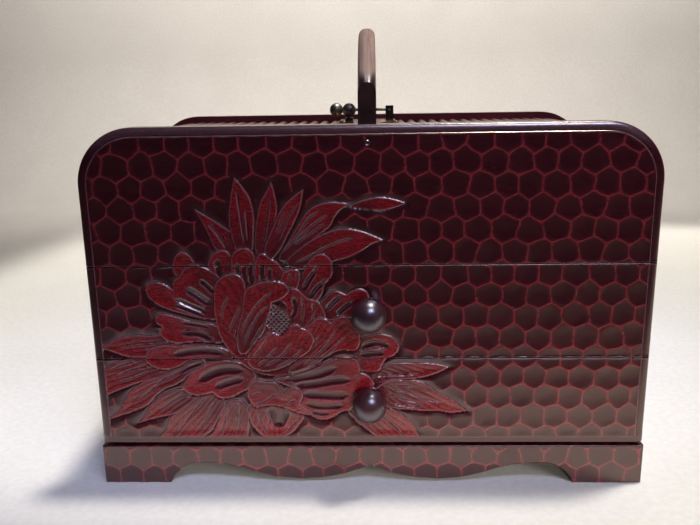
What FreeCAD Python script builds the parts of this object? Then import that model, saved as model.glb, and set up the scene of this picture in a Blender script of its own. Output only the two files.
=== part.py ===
import FreeCAD, Part
import math
import os
from types import SimpleNamespace

import Sketcher

# A lacquered wooden jewelry box. Two drawers stand on a scalloped plinth, and the
# compartment above them is closed by a tambour lid: two halves of slats on canvas that
# part in the middle, run over the rounded corners and go down inside the sides.
# X is the width, the carved front faces -Y, and Z is up from the surface it stands on.

# Driving sizes in millimetres
SIZES = {
    "case_width": 300,
    "case_depth": 160,
    "panel_top": 198.5,
    "panel_thick": 12,
    "corner_radius": 30,
    "arris_radius": 2,
    "side_inset": 1,
    "side_thick": 3.7,
    "liner_inset": 14,
    "liner_thick": 3.7,
    "liner_top": 150,
    "sheet_thick": 3.2,
    "floor_thick": 3.5,
    "bottom_thick": 4,
    "plinth_height": 22.8,
    "plinth_thick": 9,
    "plinth_proud": 0.5,
    "foot_inner": 113,
    "arch_place": 95,
    "arch_rise": 12.5,
    "lobe_place": 38,
    "lobe_rise": 2.5,
    "peak_rise": 11,
    "side_foot_inner": 45,
    "side_arch_place": 29,
    "drawer_low": 24.6,
    "seam_low": 74.2,
    "seam_high": 126.1,
    "seam_half": 0.2,
    "drawer_gap": 0.3,
    "drawer_side_gap": 0.6,
    "drawer_wall": 6,
    "drawer_base": 3,
    "drawer_height": 40,
    "drawer_length": 132,
    "knob_reach": 15,
    "knob_radius": 9.3,
    "screw_radius": 2,
    "screw_in_knob": 11,
    "screw_head": 4,
    "screw_head_thick": 2,
    "screw_play": 0.1,
    "handle_width": 9.3,
    "handle_set_back": 4.5,
    "handle_leg": 7.5,
    "handle_knee": 219,
    "handle_apex": 250,
    "handle_crown": 10,
    "handle_round": 4,
    "tenon_thick": 5,
    "tenon_width": 7,
    "tenon_deep": 16,
    "tenon_play": 0.1,
    "pin_drop": 9,
    "pin_radius": 1,
    "pin_head": 1.5,
    "pin_proud": 1,
    "pin_long": 9,
    "slat_pitch": 7.2,
    "slat_width": 6.1,
    "slat_height": 4.2,
    "slat_shoulder": 1.6,
    "slat_bevel": 0.15,
    "slat_end_gap": 0.4,
    "canvas_thick": 0.6,
    "canvas_gap": 0.6,
    "canvas_level": 190.3,
    "canvas_side": 137.96,
    "rail_top": 195.5,
    "rail_gap": 0.25,
    "rail_slat_gap": 0.4,
    "ledge_half": 95,
    "ledge_wide": 4,
    "ledge_deep": 4,
    "ledge_drop": 0.6,
    "plate_place": 13.3,
    "plate_wide": 9.4,
    "plate_long": 14,
    "plate_thick": 1,
    "plate_screw_in": 2.5,
    "plate_screw_side": 5.2,
    "plate_screw_radius": 0.75,
    "plate_screw_head": 1.25,
    "plate_screw_dome": 0.6,
    "plate_screw_deep": 4.5,
    "ball_radius": 4.1,
    "ball_level": 203.5,
    "ball_side": 4.3,
    "keeper_place": 11,
    "keeper_post": 1.3,
    "boss_radius": 2.5,
    "boss_top": 199.1,
    "arm_ball_place": 19,
    "pivot_level": 203.5,
    "pivot_radius": 0.9,
    "pivot_play": 0.06,
    "ear_wide": 4.6,
    "ear_thick": 1.4,
    "ear_top": 205.8,
    "eye_radius": 2,
    "eye_gap": 0.2,
    "rod_radius": 0.9,
}

# How many slats each moving group of one lid half holds, from the centre outwards
LEAD_SLATS = 4
TURNING_SLATS = (2, 1, 1)
MIDDLE_SLATS = 6
CORNER_SLATS = (1, 1, 2)
TAIL_SLATS = 9
BEND_SLATS = sum(CORNER_SLATS)
BEND_STEP = 90 / BEND_SLATS

doc = FreeCAD.newDocument("jewelry_box")
sheet = doc.addObject("Spreadsheet::Sheet", "sizes")
nodes = []


class Size:
    """A length that carries its number and the sheet formula that gives it."""

    def __init__(self, value, formula):
        self.value = value
        self.formula = formula

    def join(self, other, sign, value):
        return Size(value, f"({self.formula} {sign} {as_size(other).formula})")

    def __add__(self, other):
        return self.join(other, "+", self.value + as_size(other).value)

    def __sub__(self, other):
        return self.join(other, "-", self.value - as_size(other).value)

    def __mul__(self, factor):
        return self.join(factor, "*", self.value * factor)

    def __truediv__(self, factor):
        return self.join(factor, "/", self.value / factor)

    def __neg__(self):
        return self * -1


def as_size(number):
    if isinstance(number, Size):
        return number
    return Size(number, repr(float(number)))


def fill_sheet():
    """One row for each driving size: its name, its number and its alias."""
    for row, (name, number) in enumerate(SIZES.items(), start=1):
        sheet.set(f"A{row}", name)
        sheet.set(f"B{row}", str(number))
        sheet.setAlias(f"B{row}", name)
    doc.recompute()
    return SimpleNamespace(**{name: Size(float(sheet.get(name)), f"sizes.{name}") for name in SIZES})


size = fill_sheet()
zero = as_size(0)

# Places that many pieces share
half_width = size.case_width / 2
front = (size.knob_reach - size.case_depth - size.pin_proud) / 2
back = front + size.case_depth
middle = front + size.case_depth / 2
inner_front = front + size.panel_thick
inner_back = back - size.panel_thick
liner_outer = half_width - size.liner_inset
liner_inner = liner_outer - size.liner_thick
side_outer = half_width - size.side_inset
side_inner = side_outer - size.side_thick
bottom_top = size.plinth_height + size.bottom_thick
shelf_low = size.seam_low - size.sheet_thick / 2
shelf_top = shelf_low + size.sheet_thick
floor_low = size.seam_high + size.seam_half
bend_radius = size.slat_pitch * (BEND_SLATS * 2 / math.pi)
bend_start = size.canvas_side - bend_radius
flat_slats = LEAD_SLATS + sum(TURNING_SLATS) + MIDDLE_SLATS
rail_end = bend_start - size.slat_pitch * flat_slats
slat_length = size.case_depth - size.panel_thick * 2 - size.slat_end_gap * 2


def bind(obj, prop, length):
    obj.setExpression(prop, as_size(length).formula)


def place(obj, x, y, z, rotation=None):
    """Put an object at a point worked out from the sheet, turned if asked."""
    if rotation:
        obj.Placement = FreeCAD.Placement(FreeCAD.Vector(), rotation)
    for axis, length in zip("xyz", (x, y, z)):
        bind(obj, f"Placement.Base.{axis}", length)


def turn(axis, degrees):
    return FreeCAD.Rotation(FreeCAD.Vector(*axis), degrees)


def keep(obj, label):
    """Name a finished sub-part, so that it is written out under that name."""
    obj.Label = label
    nodes.append(obj)
    return obj


def block(name, x, y, z):
    """A rectangular block between two limits on each axis."""
    box = doc.addObject("Part::Box", name)
    for prop, (low, high) in zip(("Length", "Width", "Height"), (x, y, z)):
        bind(box, prop, as_size(high) - low)
    place(box, x[0], y[0], z[0])
    return box


def rod(name, radius, length, x, y, z, rotation=None):
    """A round bar from a point, upright unless it is turned."""
    bar = doc.addObject("Part::Cylinder", name)
    bind(bar, "Radius", radius)
    bind(bar, "Height", length)
    place(bar, x, y, z, rotation)
    return bar


def ball(name, radius, x, y, z):
    globe = doc.addObject("Part::Sphere", name)
    bind(globe, "Radius", radius)
    place(globe, x, y, z)
    return globe


def join(name, pieces):
    fused = doc.addObject("Part::MultiFuse", name)
    fused.Shapes = pieces
    return fused


def group(name, pieces):
    """Separate solids that belong to one named sub-part."""
    together = doc.addObject("Part::Compound", name)
    together.Links = pieces
    return together


def cut(name, base, tools):
    """Take the tools out of the base."""
    result = doc.addObject("Part::Cut", name)
    result.Base = base
    result.Tool = tools[0] if len(tools) == 1 else group(f"{name}_tools", tools)
    return result


TO_FRONT = turn((1, 0, 0), 90)
TO_BACK = turn((1, 0, 0), -90)


def plane(body, role):
    return next(item for item in body.Origin.OriginFeatures if item.Role == role)


def fix_point(sketch, side, end, x, y):
    """Dimension one sketch point from the sketch's origin."""
    for kind, length, axis in (("DistanceX", x, -2), ("DistanceY", y, -1)):
        length = as_size(length)
        if length.value == 0:
            sketch.addConstraint(Sketcher.Constraint("PointOnObject", side, end, axis))
            continue
        number = sketch.addConstraint(Sketcher.Constraint(kind, -1, 1, side, end, length.value))
        sketch.setExpression(f"Constraints[{number}]", length.formula)


def centre_on_line(start, end, centre_x):
    """The centre, on a known upright line, of an arc through two points."""
    ahead, behind = end.x - centre_x, start.x - centre_x
    centre_y = (ahead**2 - behind**2 + end.y**2 - start.y**2) / (2 * (end.y - start.y))
    return FreeCAD.Vector(centre_x, centre_y, 0)


def draw_arc(sketch, start, end, centre_x, bulge_up):
    """Add such an arc to a sketch. The answer tells which of its ends is the start."""
    centre = centre_on_line(start, end, centre_x.value)
    circle = Part.Circle(centre, FreeCAD.Vector(0, 0, 1), start.distanceToPoint(centre))
    angles = [math.atan2(point.y - centre.y, point.x - centre.x) for point in (start, end)]
    runs_left = (start.x > end.x) == bulge_up
    first, last = angles if runs_left else angles[::-1]
    side = sketch.addGeometry(Part.ArcOfCircle(circle, first, last))
    return side, (1, 2) if runs_left else (2, 1)


def outline(sketch, corners, arcs=()):
    """Draw a closed outline. arcs gives a side's number its centre's x and whether it bulges up."""
    arcs = dict(arcs)
    points = [FreeCAD.Vector(as_size(x).value, as_size(y).value, 0) for x, y in corners]
    ends = []
    for number, start in enumerate(points):
        end = points[(number + 1) % len(points)]
        if number in arcs:
            ends.append(draw_arc(sketch, start, end, *arcs[number]))
        else:
            ends.append((sketch.addGeometry(Part.LineSegment(start, end)), (1, 2)))
    for number, (side, (first, _)) in enumerate(ends):
        before, (_, last) = ends[number - 1]
        sketch.addConstraint(Sketcher.Constraint("Coincident", before, last, side, first))
        fix_point(sketch, side, first, *corners[number])
    for number, (centre_x, _) in arcs.items():
        fix_centre(sketch, ends[number][0], centre_x)


def fix_centre(sketch, side, centre_x):
    if centre_x.value == 0:
        sketch.addConstraint(Sketcher.Constraint("PointOnObject", side, 3, -2))
        return
    number = sketch.addConstraint(Sketcher.Constraint("DistanceX", -1, 1, side, 3, centre_x.value))
    sketch.setExpression(f"Constraints[{number}]", centre_x.formula)


def padded_body(name, role, corners, thickness, arcs=(), both_ways=False, flip=False):
    """A body whose outline on one of its own planes is given a thickness."""
    body = doc.addObject("PartDesign::Body", name)
    sketch = body.newObject("Sketcher::SketchObject", f"{name}_outline")
    sketch.AttachmentSupport = [(plane(body, role), "")]
    sketch.MapMode = "FlatFace"
    outline(sketch, corners, arcs)
    pad = body.newObject("PartDesign::Pad", f"{name}_pad")
    pad.Profile = sketch
    bind(pad, "Length", thickness)
    if both_ways:
        pad.SideType = "Symmetric"
    pad.Reversed = flip
    doc.recompute()
    return body


def mirror_body(body, role):
    """Complete a half outline with its mirror image across one of the body's planes."""
    half = body.Tip
    whole = body.newObject("PartDesign::Mirrored", f"{body.Name}_whole")
    whole.Originals = [half]
    whole.MirrorPlane = (plane(body, role), [""])
    body.Tip = whole
    doc.recompute()


def round_edges(body, name, radius, chosen):
    """Round the edges of the body's last feature that the test picks."""
    last = body.Tip
    edges = [f"Edge{n}" for n, edge in enumerate(last.Shape.Edges, start=1) if chosen(edge)]
    fillet = body.newObject("PartDesign::Fillet", f"{body.Name}_{name}")
    fillet.Base = (last, edges)
    bind(fillet, "Radius", radius)
    body.Tip = fillet
    doc.recompute()


def hollow_box(body, name, x, y, z):
    """Cut a rectangular pocket, given in the body's own frame."""
    pocket = body.newObject("PartDesign::SubtractiveBox", f"{body.Name}_{name}")
    for prop, (low, high) in zip(("Length", "Width", "Height"), (x, y, z)):
        bind(pocket, prop, as_size(high) - low)
    place(pocket, x[0], y[0], z[0])
    doc.recompute()


def hollow_round(body, name, radius, length, x, y, z):
    """Drill a hole towards +Y, given in the body's own frame."""
    hole = body.newObject("PartDesign::SubtractiveCylinder", f"{body.Name}_{name}")
    bind(hole, "Radius", radius)
    bind(hole, "Height", length)
    place(hole, x, y, z, TO_BACK)
    doc.recompute()


def end_panel(label, low, y, faces_front):
    """A panel with rounded top corners, a rounded outer arris, a mortise and a pin hole."""
    height = size.panel_top - low
    corners = [(zero, zero), (size.case_width, zero), (size.case_width, height), (zero, height)]
    body = padded_body(label, "XZ_Plane", corners, size.panel_thick, flip=True)
    top = height.value
    outer = 0 if faces_front else size.panel_thick.value
    round_edges(body, "corners", size.corner_radius, lambda edge: is_top_corner(edge, top))
    round_edges(body, "arris", size.arris_radius, lambda edge: is_top_arris(edge, top, outer))
    set_back = size.handle_set_back + (size.handle_leg - size.tenon_thick) / 2 - size.tenon_play
    if not faces_front:
        set_back = size.panel_thick - set_back - size.tenon_thick - size.tenon_play * 2
    half_mortise = size.tenon_width / 2 + size.tenon_play
    across = (half_width - half_mortise, half_width + half_mortise)
    along = (set_back, set_back + size.tenon_thick + size.tenon_play * 2)
    hollow_box(body, "mortise", across, along, (height - size.tenon_deep, height + 1))
    hole_start = zero if faces_front else size.panel_thick / 2
    pin_hole = size.pin_radius + size.screw_play
    pin_level = height - size.pin_drop
    hollow_round(body, "pin_hole", pin_hole, size.panel_thick / 2, half_width, hole_start, pin_level)
    place(body, -half_width, y, low)
    keep(body, label)


def is_top_corner(edge, top):
    ends = [vertex.Point for vertex in edge.Vertexes]
    return all(abs(p.z - top) < 0.01 for p in ends) and abs(ends[0].x - ends[1].x) < 0.01


def is_top_arris(edge, top, outer):
    ends = [vertex.Point for vertex in edge.Vertexes]
    return all(abs(p.z - top) < 0.01 and abs(p.y - outer) < 0.01 for p in ends)


def case_boards():
    """The boards of the case: walls, liners, floors and the ledges under the lid."""
    depth = (inner_front, inner_back)
    between = (-liner_inner, liner_inner)
    wall = (size.plinth_height, floor_low)
    lining = (bottom_top, size.liner_top)
    boards = [
        ("left_side_board", (-side_outer, -side_inner), wall),
        ("right_side_board", (side_inner, side_outer), wall),
        ("left_liner", (-liner_outer, -liner_inner), lining),
        ("right_liner", (liner_inner, liner_outer), lining),
        ("compartment_floor", between, (floor_low, floor_low + size.floor_thick)),
        ("drawer_shelf", between, (shelf_low, shelf_top)),
        ("bottom_board", (-side_inner, side_inner), (size.plinth_height, bottom_top)),
    ]
    for label, across, upright in boards:
        keep(block(label, across, depth, upright), label)
    ledge_top = size.canvas_level - size.canvas_thick - size.ledge_drop
    run = (-size.ledge_half, size.ledge_half)
    level = (ledge_top - size.ledge_deep, ledge_top)
    near = block("front_ledge", run, (inner_front, inner_front + size.ledge_wide), level)
    far = block("back_ledge", run, (inner_back - size.ledge_wide, inner_back), level)
    keep(group("tambour_ledges", [near, far]), "tambour_ledges")


def plinth_board(label, y):
    """A scalloped board: two feet, a round arch by each, and two lobes that meet in a peak."""
    half = half_width + size.plinth_proud
    turn_x = (size.arch_place + size.lobe_place) / 2
    turn_z = (size.arch_rise + size.lobe_rise) / 2
    corners = [
        (zero, size.plinth_height),
        (half, size.plinth_height),
        (half, zero),
        (size.foot_inner, zero),
        (size.arch_place, size.arch_rise),
        (turn_x, turn_z),
        (size.lobe_place, size.lobe_rise),
        (zero, size.peak_rise),
    ]
    arcs = {
        3: (size.arch_place, True),
        4: (size.arch_place, True),
        5: (size.lobe_place, False),
        6: (size.lobe_place, False),
    }
    body = padded_body(label, "XZ_Plane", corners, size.plinth_thick, arcs, flip=True)
    mirror_body(body, "YZ_Plane")
    place(body, zero, y, zero)
    keep(body, label)


def plinth_side(label, x):
    """A side board with a foot at each end and one flat arch between."""
    half = size.case_depth / 2 + size.plinth_proud - size.plinth_thick
    corners = [
        (zero, size.plinth_height),
        (half, size.plinth_height),
        (half, zero),
        (size.side_foot_inner, zero),
        (size.side_arch_place, size.arch_rise),
        (zero, size.arch_rise),
    ]
    body = padded_body(label, "YZ_Plane", corners, size.plinth_thick, {3: (size.side_arch_place, True)})
    mirror_body(body, "XZ_Plane")
    place(body, x, middle, zero)
    keep(body, label)


def handle():
    """A bow on two short legs, with a tenon under each leg and a pin hole in each tenon."""
    reach = size.case_depth / 2 - size.handle_set_back
    inside = reach - size.handle_leg
    tenon_out = reach - (size.handle_leg - size.tenon_thick) / 2
    tenon_in = tenon_out - size.tenon_thick
    rise = size.handle_apex - size.handle_knee
    bow = (reach.value**2 + rise.value**2) / (2 * rise.value)
    hub = size.handle_apex.value - bow
    inner_bow = bow - size.handle_crown.value
    inner_knee = hub + math.sqrt(inner_bow**2 - inside.value**2)
    corners = [
        (reach, size.panel_top),
        (reach, size.handle_knee),
        (zero, size.handle_apex),
        (zero, size.handle_apex - size.handle_crown),
        (inside, size.handle_knee - (size.handle_knee.value - inner_knee)),
        (inside, size.panel_top),
    ]
    body = padded_body(
        "handle", "YZ_Plane", corners, size.handle_width, {1: (zero, True), 3: (zero, True)}, both_ways=True
    )
    mirror_body(body, "XZ_Plane")
    round_edges(body, "bow", size.handle_round, lambda edge: is_bow_edge(edge, hub, bow))
    foot = size.panel_top - size.tenon_deep + size.tenon_play
    half = size.tenon_width / 2
    for name, low, high in (("front", -tenon_out, -tenon_in), ("back", tenon_in, tenon_out)):
        tenon = body.newObject("PartDesign::AdditiveBox", f"{name}_tenon")
        bind(tenon, "Length", half * 2)
        bind(tenon, "Width", high - low)
        bind(tenon, "Height", size.panel_top - foot)
        place(tenon, -half, low, foot)
        doc.recompute()
    pin_hole = size.pin_radius + size.screw_play
    level = size.panel_top - size.pin_drop
    hollow_round(body, "front_pin_hole", pin_hole, size.tenon_thick, zero, -tenon_out, level)
    hollow_round(body, "back_pin_hole", pin_hole, size.tenon_thick, zero, tenon_in, level)
    place(body, zero, middle, zero)
    keep(body, "handle")


def is_bow_edge(edge, hub, bow):
    """True for the two long outer edges of the bow."""
    curve = edge.Curve
    if not isinstance(curve, Part.Circle):
        return False
    return abs(curve.Center.z - hub) < 0.01 and abs(curve.Radius - bow) < 0.01


def handle_pins():
    """Round-headed pins that lock the tenons, one from the front and one from the back."""
    level = size.panel_top - size.pin_drop
    pins = []
    for name, y, way in (("front", front, TO_BACK), ("back", back, TO_FRONT)):
        head_y = y - size.pin_proud if name == "front" else y + size.pin_proud
        shank = rod(f"{name}_pin_shank", size.pin_radius, size.pin_long, zero, y, level, way)
        head = rod(f"{name}_pin_head", size.pin_head, size.pin_proud, zero, head_y, level, way)
        pins.append(join(f"{name}_pin", [shank, head]))
    keep(group("handle_pins", pins), "handle_pins")


def drawer_front(label, low, high, hole_radius):
    """An overlay front whose two end arrises are rounded, with the hole for the knob's screw."""
    height = high - low
    thick = size.panel_thick - size.drawer_gap
    corners = [(zero, zero), (size.case_width, zero), (size.case_width, height), (zero, height)]
    body = padded_body(label, "XZ_Plane", corners, thick, flip=True)
    round_edges(body, "arris", size.arris_radius, is_end_arris)
    hollow_round(body, "screw_hole", hole_radius, thick, half_width, zero, height / 2)
    place(body, -half_width, front, low)
    keep(body, label)


def is_end_arris(edge):
    """True for the two upright edges of the outer face."""
    ends = [vertex.Point for vertex in edge.Vertexes]
    return all(abs(p.y) < 0.01 for p in ends) and abs(ends[0].x - ends[1].x) < 0.01


def drawer(name, front_low, front_high, rest):
    """One drawer: a carved overlay front, a plain box behind it, and a screwed ball knob."""
    front_back = inner_front - size.drawer_gap
    knob_z = (front_low + front_high) / 2
    hole_radius = size.screw_radius + size.screw_play
    drawer_front(f"{name}_front", front_low, front_high, hole_radius)
    outer = liner_inner - size.drawer_side_gap
    inner = outer - size.drawer_wall
    low = rest + size.drawer_gap
    upright = (low, low + size.drawer_height)
    end = front_back + size.drawer_length
    wall_back = (end - size.drawer_wall, end)
    keep(block(f"{name}_left_side", (-outer, -inner), (front_back, end), upright), f"{name}_left_side")
    keep(block(f"{name}_right_side", (inner, outer), (front_back, end), upright), f"{name}_right_side")
    keep(block(f"{name}_back", (-inner, inner), wall_back, upright), f"{name}_back")
    base = (low, low + size.drawer_base)
    keep(block(f"{name}_bottom", (-inner, inner), (front_back, wall_back[0]), base), f"{name}_bottom")
    knob(name, knob_z, front_back, hole_radius)


def knob(name, z, front_back, hole_radius):
    """A turned ball with a flat seat on the drawer front, and the screw that holds it from inside."""
    radius = size.knob_radius
    globe = ball(f"{name}_knob_ball", radius, zero, front - size.knob_reach + radius, z)
    behind = block(f"{name}_knob_seat", (-radius, radius), (front, front + radius), (z - radius, z + radius))
    bore_deep = size.screw_in_knob + size.drawer_gap
    bore = rod(f"{name}_knob_bore", hole_radius, bore_deep, zero, front, z, TO_FRONT)
    keep(cut(f"{name}_knob", globe, [behind, bore]), f"{name}_knob")
    shank_length = front_back - front + size.screw_in_knob
    shank = rod(f"{name}_screw_shank", size.screw_radius, shank_length, zero, front_back, z, TO_FRONT)
    head = rod(f"{name}_screw_head", size.screw_head, size.screw_head_thick, zero, front_back, z, TO_BACK)
    keep(join(f"{name}_knob_screw", [shank, head]), f"{name}_knob_screw")


def slat_profile():
    """The section of a slat: flat on the canvas, a short upright shoulder and a rounded top."""
    sketch = doc.addObject("Sketcher::SketchObject", "slat_profile")
    right = size.slat_width - size.slat_bevel
    corners = [
        (zero, zero),
        (size.slat_width, zero),
        (right, size.slat_shoulder),
        (size.slat_width / 2, size.slat_height),
        (size.slat_bevel, size.slat_shoulder),
    ]
    crown = size.slat_width / 2
    outline(sketch, corners, {2: (crown, True), 3: (crown, True)})
    place(sketch, -size.slat_width / 2, zero, zero, TO_FRONT)
    return sketch


def canvas_point(along, hand):
    """Where the canvas line lies, and its tilt, at a number of pitches past the rail."""
    bent = along - flat_slats
    if bent <= 0:
        x, z, tilt = rail_end + size.slat_pitch * along, size.canvas_level, 0
    elif bent < BEND_SLATS:
        tilt = bent * BEND_STEP
        x = bend_start + bend_radius * math.sin(math.radians(tilt))
        z = size.canvas_level - bend_radius * (1 - math.cos(math.radians(tilt)))
    else:
        x, tilt = size.canvas_side, 90
        z = size.canvas_level - bend_radius - size.slat_pitch * (bent - BEND_SLATS)
    return x * hand, z, tilt * hand


def lay_slat(name, profile, along, hand):
    """One slat on the canvas line."""
    slat = doc.addObject("Part::Extrusion", name)
    slat.Base = profile
    slat.DirMode = "Custom"
    slat.Dir = FreeCAD.Vector(0, 1, 0)
    slat.Solid = True
    slat.Symmetric = True
    bind(slat, "LengthFwd", slat_length)
    x, z, tilt = canvas_point(along, hand)
    place(slat, x, middle, z, turn((0, 1, 0), tilt))
    return slat


def lay_canvas(name, along, half_length, hand):
    """A strip of canvas under one slat or one flat row of slats, centred on the canvas line."""
    strip = doc.addObject("Part::Box", name)
    bind(strip, "Length", half_length * 2)
    bind(strip, "Width", slat_length)
    bind(strip, "Height", size.canvas_thick)
    x, z, tilt = canvas_point(along, hand)
    across, down = math.cos(math.radians(tilt)), math.sin(math.radians(tilt))
    corner_x = x - half_length * across - size.canvas_thick * down
    corner_z = z + half_length * down - size.canvas_thick * across
    place(strip, corner_x, middle - slat_length / 2, corner_z, turn((0, 1, 0), tilt))
    return strip


def slat_group(label, profile, first, count, hand):
    """Slats that move as one piece: flat rows share a strip, bent pairs have a strip each."""
    centres = [first + number + 0.5 for number in range(count)]
    pieces = [
        lay_slat(f"{label}_{number}", profile, along, hand)
        for number, along in enumerate(centres, start=1)
    ]
    bent = flat_slats < centres[0] < flat_slats + BEND_SLATS
    strips = centres if bent else [first + count / 2]
    half_length = size.slat_pitch * (0.5 if bent else count / 2) - size.canvas_gap
    for number, along in enumerate(strips, start=1):
        pieces.append(lay_canvas(f"{label}_canvas_{number}", along, half_length, hand))
    keep(group(label, pieces), label)


def lid_half(side, hand, profile):
    """One half of the tambour lid, from the lead rail to the tail inside the case."""
    near, far = size.rail_gap * hand, (rail_end - size.rail_slat_gap) * hand
    low, high = (near, far) if hand > 0 else (far, near)
    depth = (middle - slat_length / 2, middle + slat_length / 2)
    level = (size.canvas_level - size.canvas_thick, size.rail_top)
    rail = block(f"{side}_rail_bar", (low, high), depth, level)
    hole_radius = size.plate_screw_radius + size.screw_play
    holes = [
        rod(f"{side}_rail_hole_{n}", hole_radius, size.plate_screw_deep, x, y, z)
        for n, (x, y, z) in enumerate(screw_feet(hand), start=1)
    ]
    keep(cut(f"{side}_lead_rail", rail, holes), f"{side}_lead_rail")
    rows = [("lead_slats", LEAD_SLATS)]
    rows += [(f"turning_slats_{n}", count) for n, count in enumerate(TURNING_SLATS, start=1)]
    rows += [("middle_slats", MIDDLE_SLATS)]
    rows += [(f"corner_slats_{n}", count) for n, count in enumerate(CORNER_SLATS, start=1)]
    rows += [("tail_slats", TAIL_SLATS)]
    first = 0
    for name, count in rows:
        slat_group(f"{side}_{name}", profile, first, count, hand)
        first += count


def screw_feet(hand):
    """The lower ends of a clasp plate's two screws."""
    x = (size.plate_place + size.plate_screw_in) * hand
    foot = size.rail_top - size.plate_screw_deep
    return [(x, middle - size.plate_screw_side, foot), (x, middle + size.plate_screw_side, foot)]


def clasp_plate(name, hand):
    """The blank of a clasp plate: a small brass sheet with its two screw holes."""
    half_wide, half_long = size.plate_wide / 2, size.plate_long / 2
    x = size.plate_place * hand
    across = (x - half_wide, x + half_wide)
    along = (middle - half_long, middle + half_long)
    blank = block(f"{name}_blank", across, along, (size.rail_top, size.rail_top + size.plate_thick))
    hole_radius = size.plate_screw_radius + size.screw_play
    deep = size.plate_screw_deep + size.plate_thick
    holes = [
        rod(f"{name}_hole_{n}", hole_radius, deep * 2, x, y, z)
        for n, (x, y, z) in enumerate(screw_feet(hand), start=1)
    ]
    return blank, holes


def plate_screws(label, hand):
    """Two small round-headed screws through a clasp plate into the rail."""
    top = size.rail_top + size.plate_thick
    screws = []
    for number, (x, y, z) in enumerate(screw_feet(hand), start=1):
        shank = rod(f"{label}_shank_{number}", size.plate_screw_radius, top - z, x, y, z)
        head = rod(f"{label}_head_{number}", size.plate_screw_head, size.plate_screw_dome, x, y, top)
        screws.append(join(f"{label}_{number}", [shank, head]))
    keep(group(label, screws), label)


def keeper_side():
    """The left half's plate with its boss, and the keeper ball on its post."""
    blank, holes = clasp_plate("left_clasp_plate", -1)
    x, y = -size.keeper_place, middle - size.ball_side
    boss = rod("keeper_boss", size.boss_radius, size.boss_top - size.rail_top, x, y, size.rail_top)
    keep(cut("left_clasp_plate", join("left_plate_body", [blank, boss]), holes), "left_clasp_plate")
    post = rod("keeper_post_bar", size.keeper_post, size.ball_level - size.boss_top, x, y, size.boss_top)
    globe = ball("keeper_ball", size.ball_radius, x, y, size.ball_level)
    keep(join("clasp_keeper", [post, globe]), "clasp_keeper")
    plate_screws("left_clasp_screws", -1)


def arm_side():
    """The right half's plate with two ears, the pivot pin, and the arm that swings on it."""
    blank, holes = clasp_plate("right_clasp_plate", 1)
    x = size.plate_place
    ear_in = size.eye_radius + size.eye_gap
    ear_out = ear_in + size.ear_thick
    wide = (x - size.ear_wide / 2, x + size.ear_wide / 2)
    level = (size.rail_top, size.ear_top)
    ears = [
        block("front_ear", wide, (middle - ear_out, middle - ear_in), level),
        block("back_ear", wide, (middle + ear_in, middle + ear_out), level),
    ]
    pin_start = middle + ear_out
    pin_long = ear_out * 2
    pin_hole = rod("ear_pin_hole", size.pivot_radius, pin_long, x, pin_start, size.pivot_level, TO_FRONT)
    plate = join("right_plate_body", [blank] + ears)
    keep(cut("right_clasp_plate", plate, holes + [pin_hole]), "right_clasp_plate")
    pin = rod("clasp_pivot_pin", size.pivot_radius, pin_long, x, pin_start, size.pivot_level, TO_FRONT)
    keep(pin, "clasp_pivot_pin")
    plate_screws("right_clasp_screws", 1)
    clasp_arm(x)


def clasp_arm(x):
    """The arm: an eye on the pin, a thin rod past the keeper, and a ball at the far end."""
    eye_end = middle + size.eye_radius
    eye = rod("arm_eye", size.eye_radius, size.eye_radius * 2, x, eye_end, size.pivot_level, TO_FRONT)
    bore_radius = size.pivot_radius + size.pivot_play
    bore = rod("arm_bore", bore_radius, size.eye_radius * 2, x, eye_end, size.pivot_level, TO_FRONT)
    tip = (-size.arm_ball_place, middle + size.ball_side, size.ball_level)
    start = (x, middle, size.pivot_level)
    run = FreeCAD.Vector(*(end.value - begin.value for begin, end in zip(start, tip)))
    way = FreeCAD.Rotation(FreeCAD.Vector(0, 0, 1), run)
    stem = rod("arm_rod", size.rod_radius, as_size(run.Length), *start, way)
    globe = ball("arm_ball", size.ball_radius, *tip)
    keep(cut("clasp_arm", join("arm_body", [eye, stem, globe]), [bore]), "clasp_arm")


def check_and_write():
    """Stop on any failed object or bad solid, then write every sub-part to its own file."""
    doc.recompute()
    failed = [obj.Name for obj in doc.Objects if {"Invalid", "Error"} & set(obj.State)]
    if failed:
        raise RuntimeError(f"failed objects: {failed}")
    for node in nodes:
        if node.Shape.isNull() or not node.Shape.isValid():
            raise RuntimeError(f"bad shape: {node.Label}")
    os.makedirs("parts", exist_ok=True)
    for node in nodes:
        node.Shape.exportStep(f"parts/{node.Label}.step")
        bounds = node.Shape.optimalBoundingBox(False)
        print(f"{node.Label}: {len(node.Shape.Solids)} solids, {node.Shape.Volume / 1000:.2f} cm3,"
              f" x {bounds.XMin:.2f} {bounds.XMax:.2f}, y {bounds.YMin:.2f} {bounds.YMax:.2f},"
              f" z {bounds.ZMin:.2f} {bounds.ZMax:.2f}")
    print(f"{len(nodes)} sub-parts written")


end_panel("front_panel", floor_low, front, True)
end_panel("back_panel", size.plinth_height, inner_back, False)
case_boards()
plinth_board("plinth_front", front - size.plinth_proud)
plinth_board("plinth_back", back + size.plinth_proud - size.plinth_thick)
plinth_side("plinth_left", -half_width - size.plinth_proud)
plinth_side("plinth_right", half_width + size.plinth_proud - size.plinth_thick)
handle()
handle_pins()
drawer("upper_drawer", size.seam_low + size.seam_half, size.seam_high - size.seam_half, shelf_top)
drawer("lower_drawer", size.drawer_low, size.seam_low - size.seam_half, bottom_top)
slats = slat_profile()
lid_half("left", -1, slats)
lid_half("right", 1, slats)
keeper_side()
arm_side()
check_and_write()
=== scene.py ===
# %% [markdown]
# # A carved lacquer jewelry box
# The box is a packed set of solids that slide and turn on their joints: a case with two drawers,
# a lid of slats that parts in the middle, a bow handle and a small ball clasp. The solids give the
# sizes. This lesson gives them their looks: the carved front is worked out as a height map, turned
# parts are profiles carried round an axis, and every finish is built from shader nodes.

import math

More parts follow.
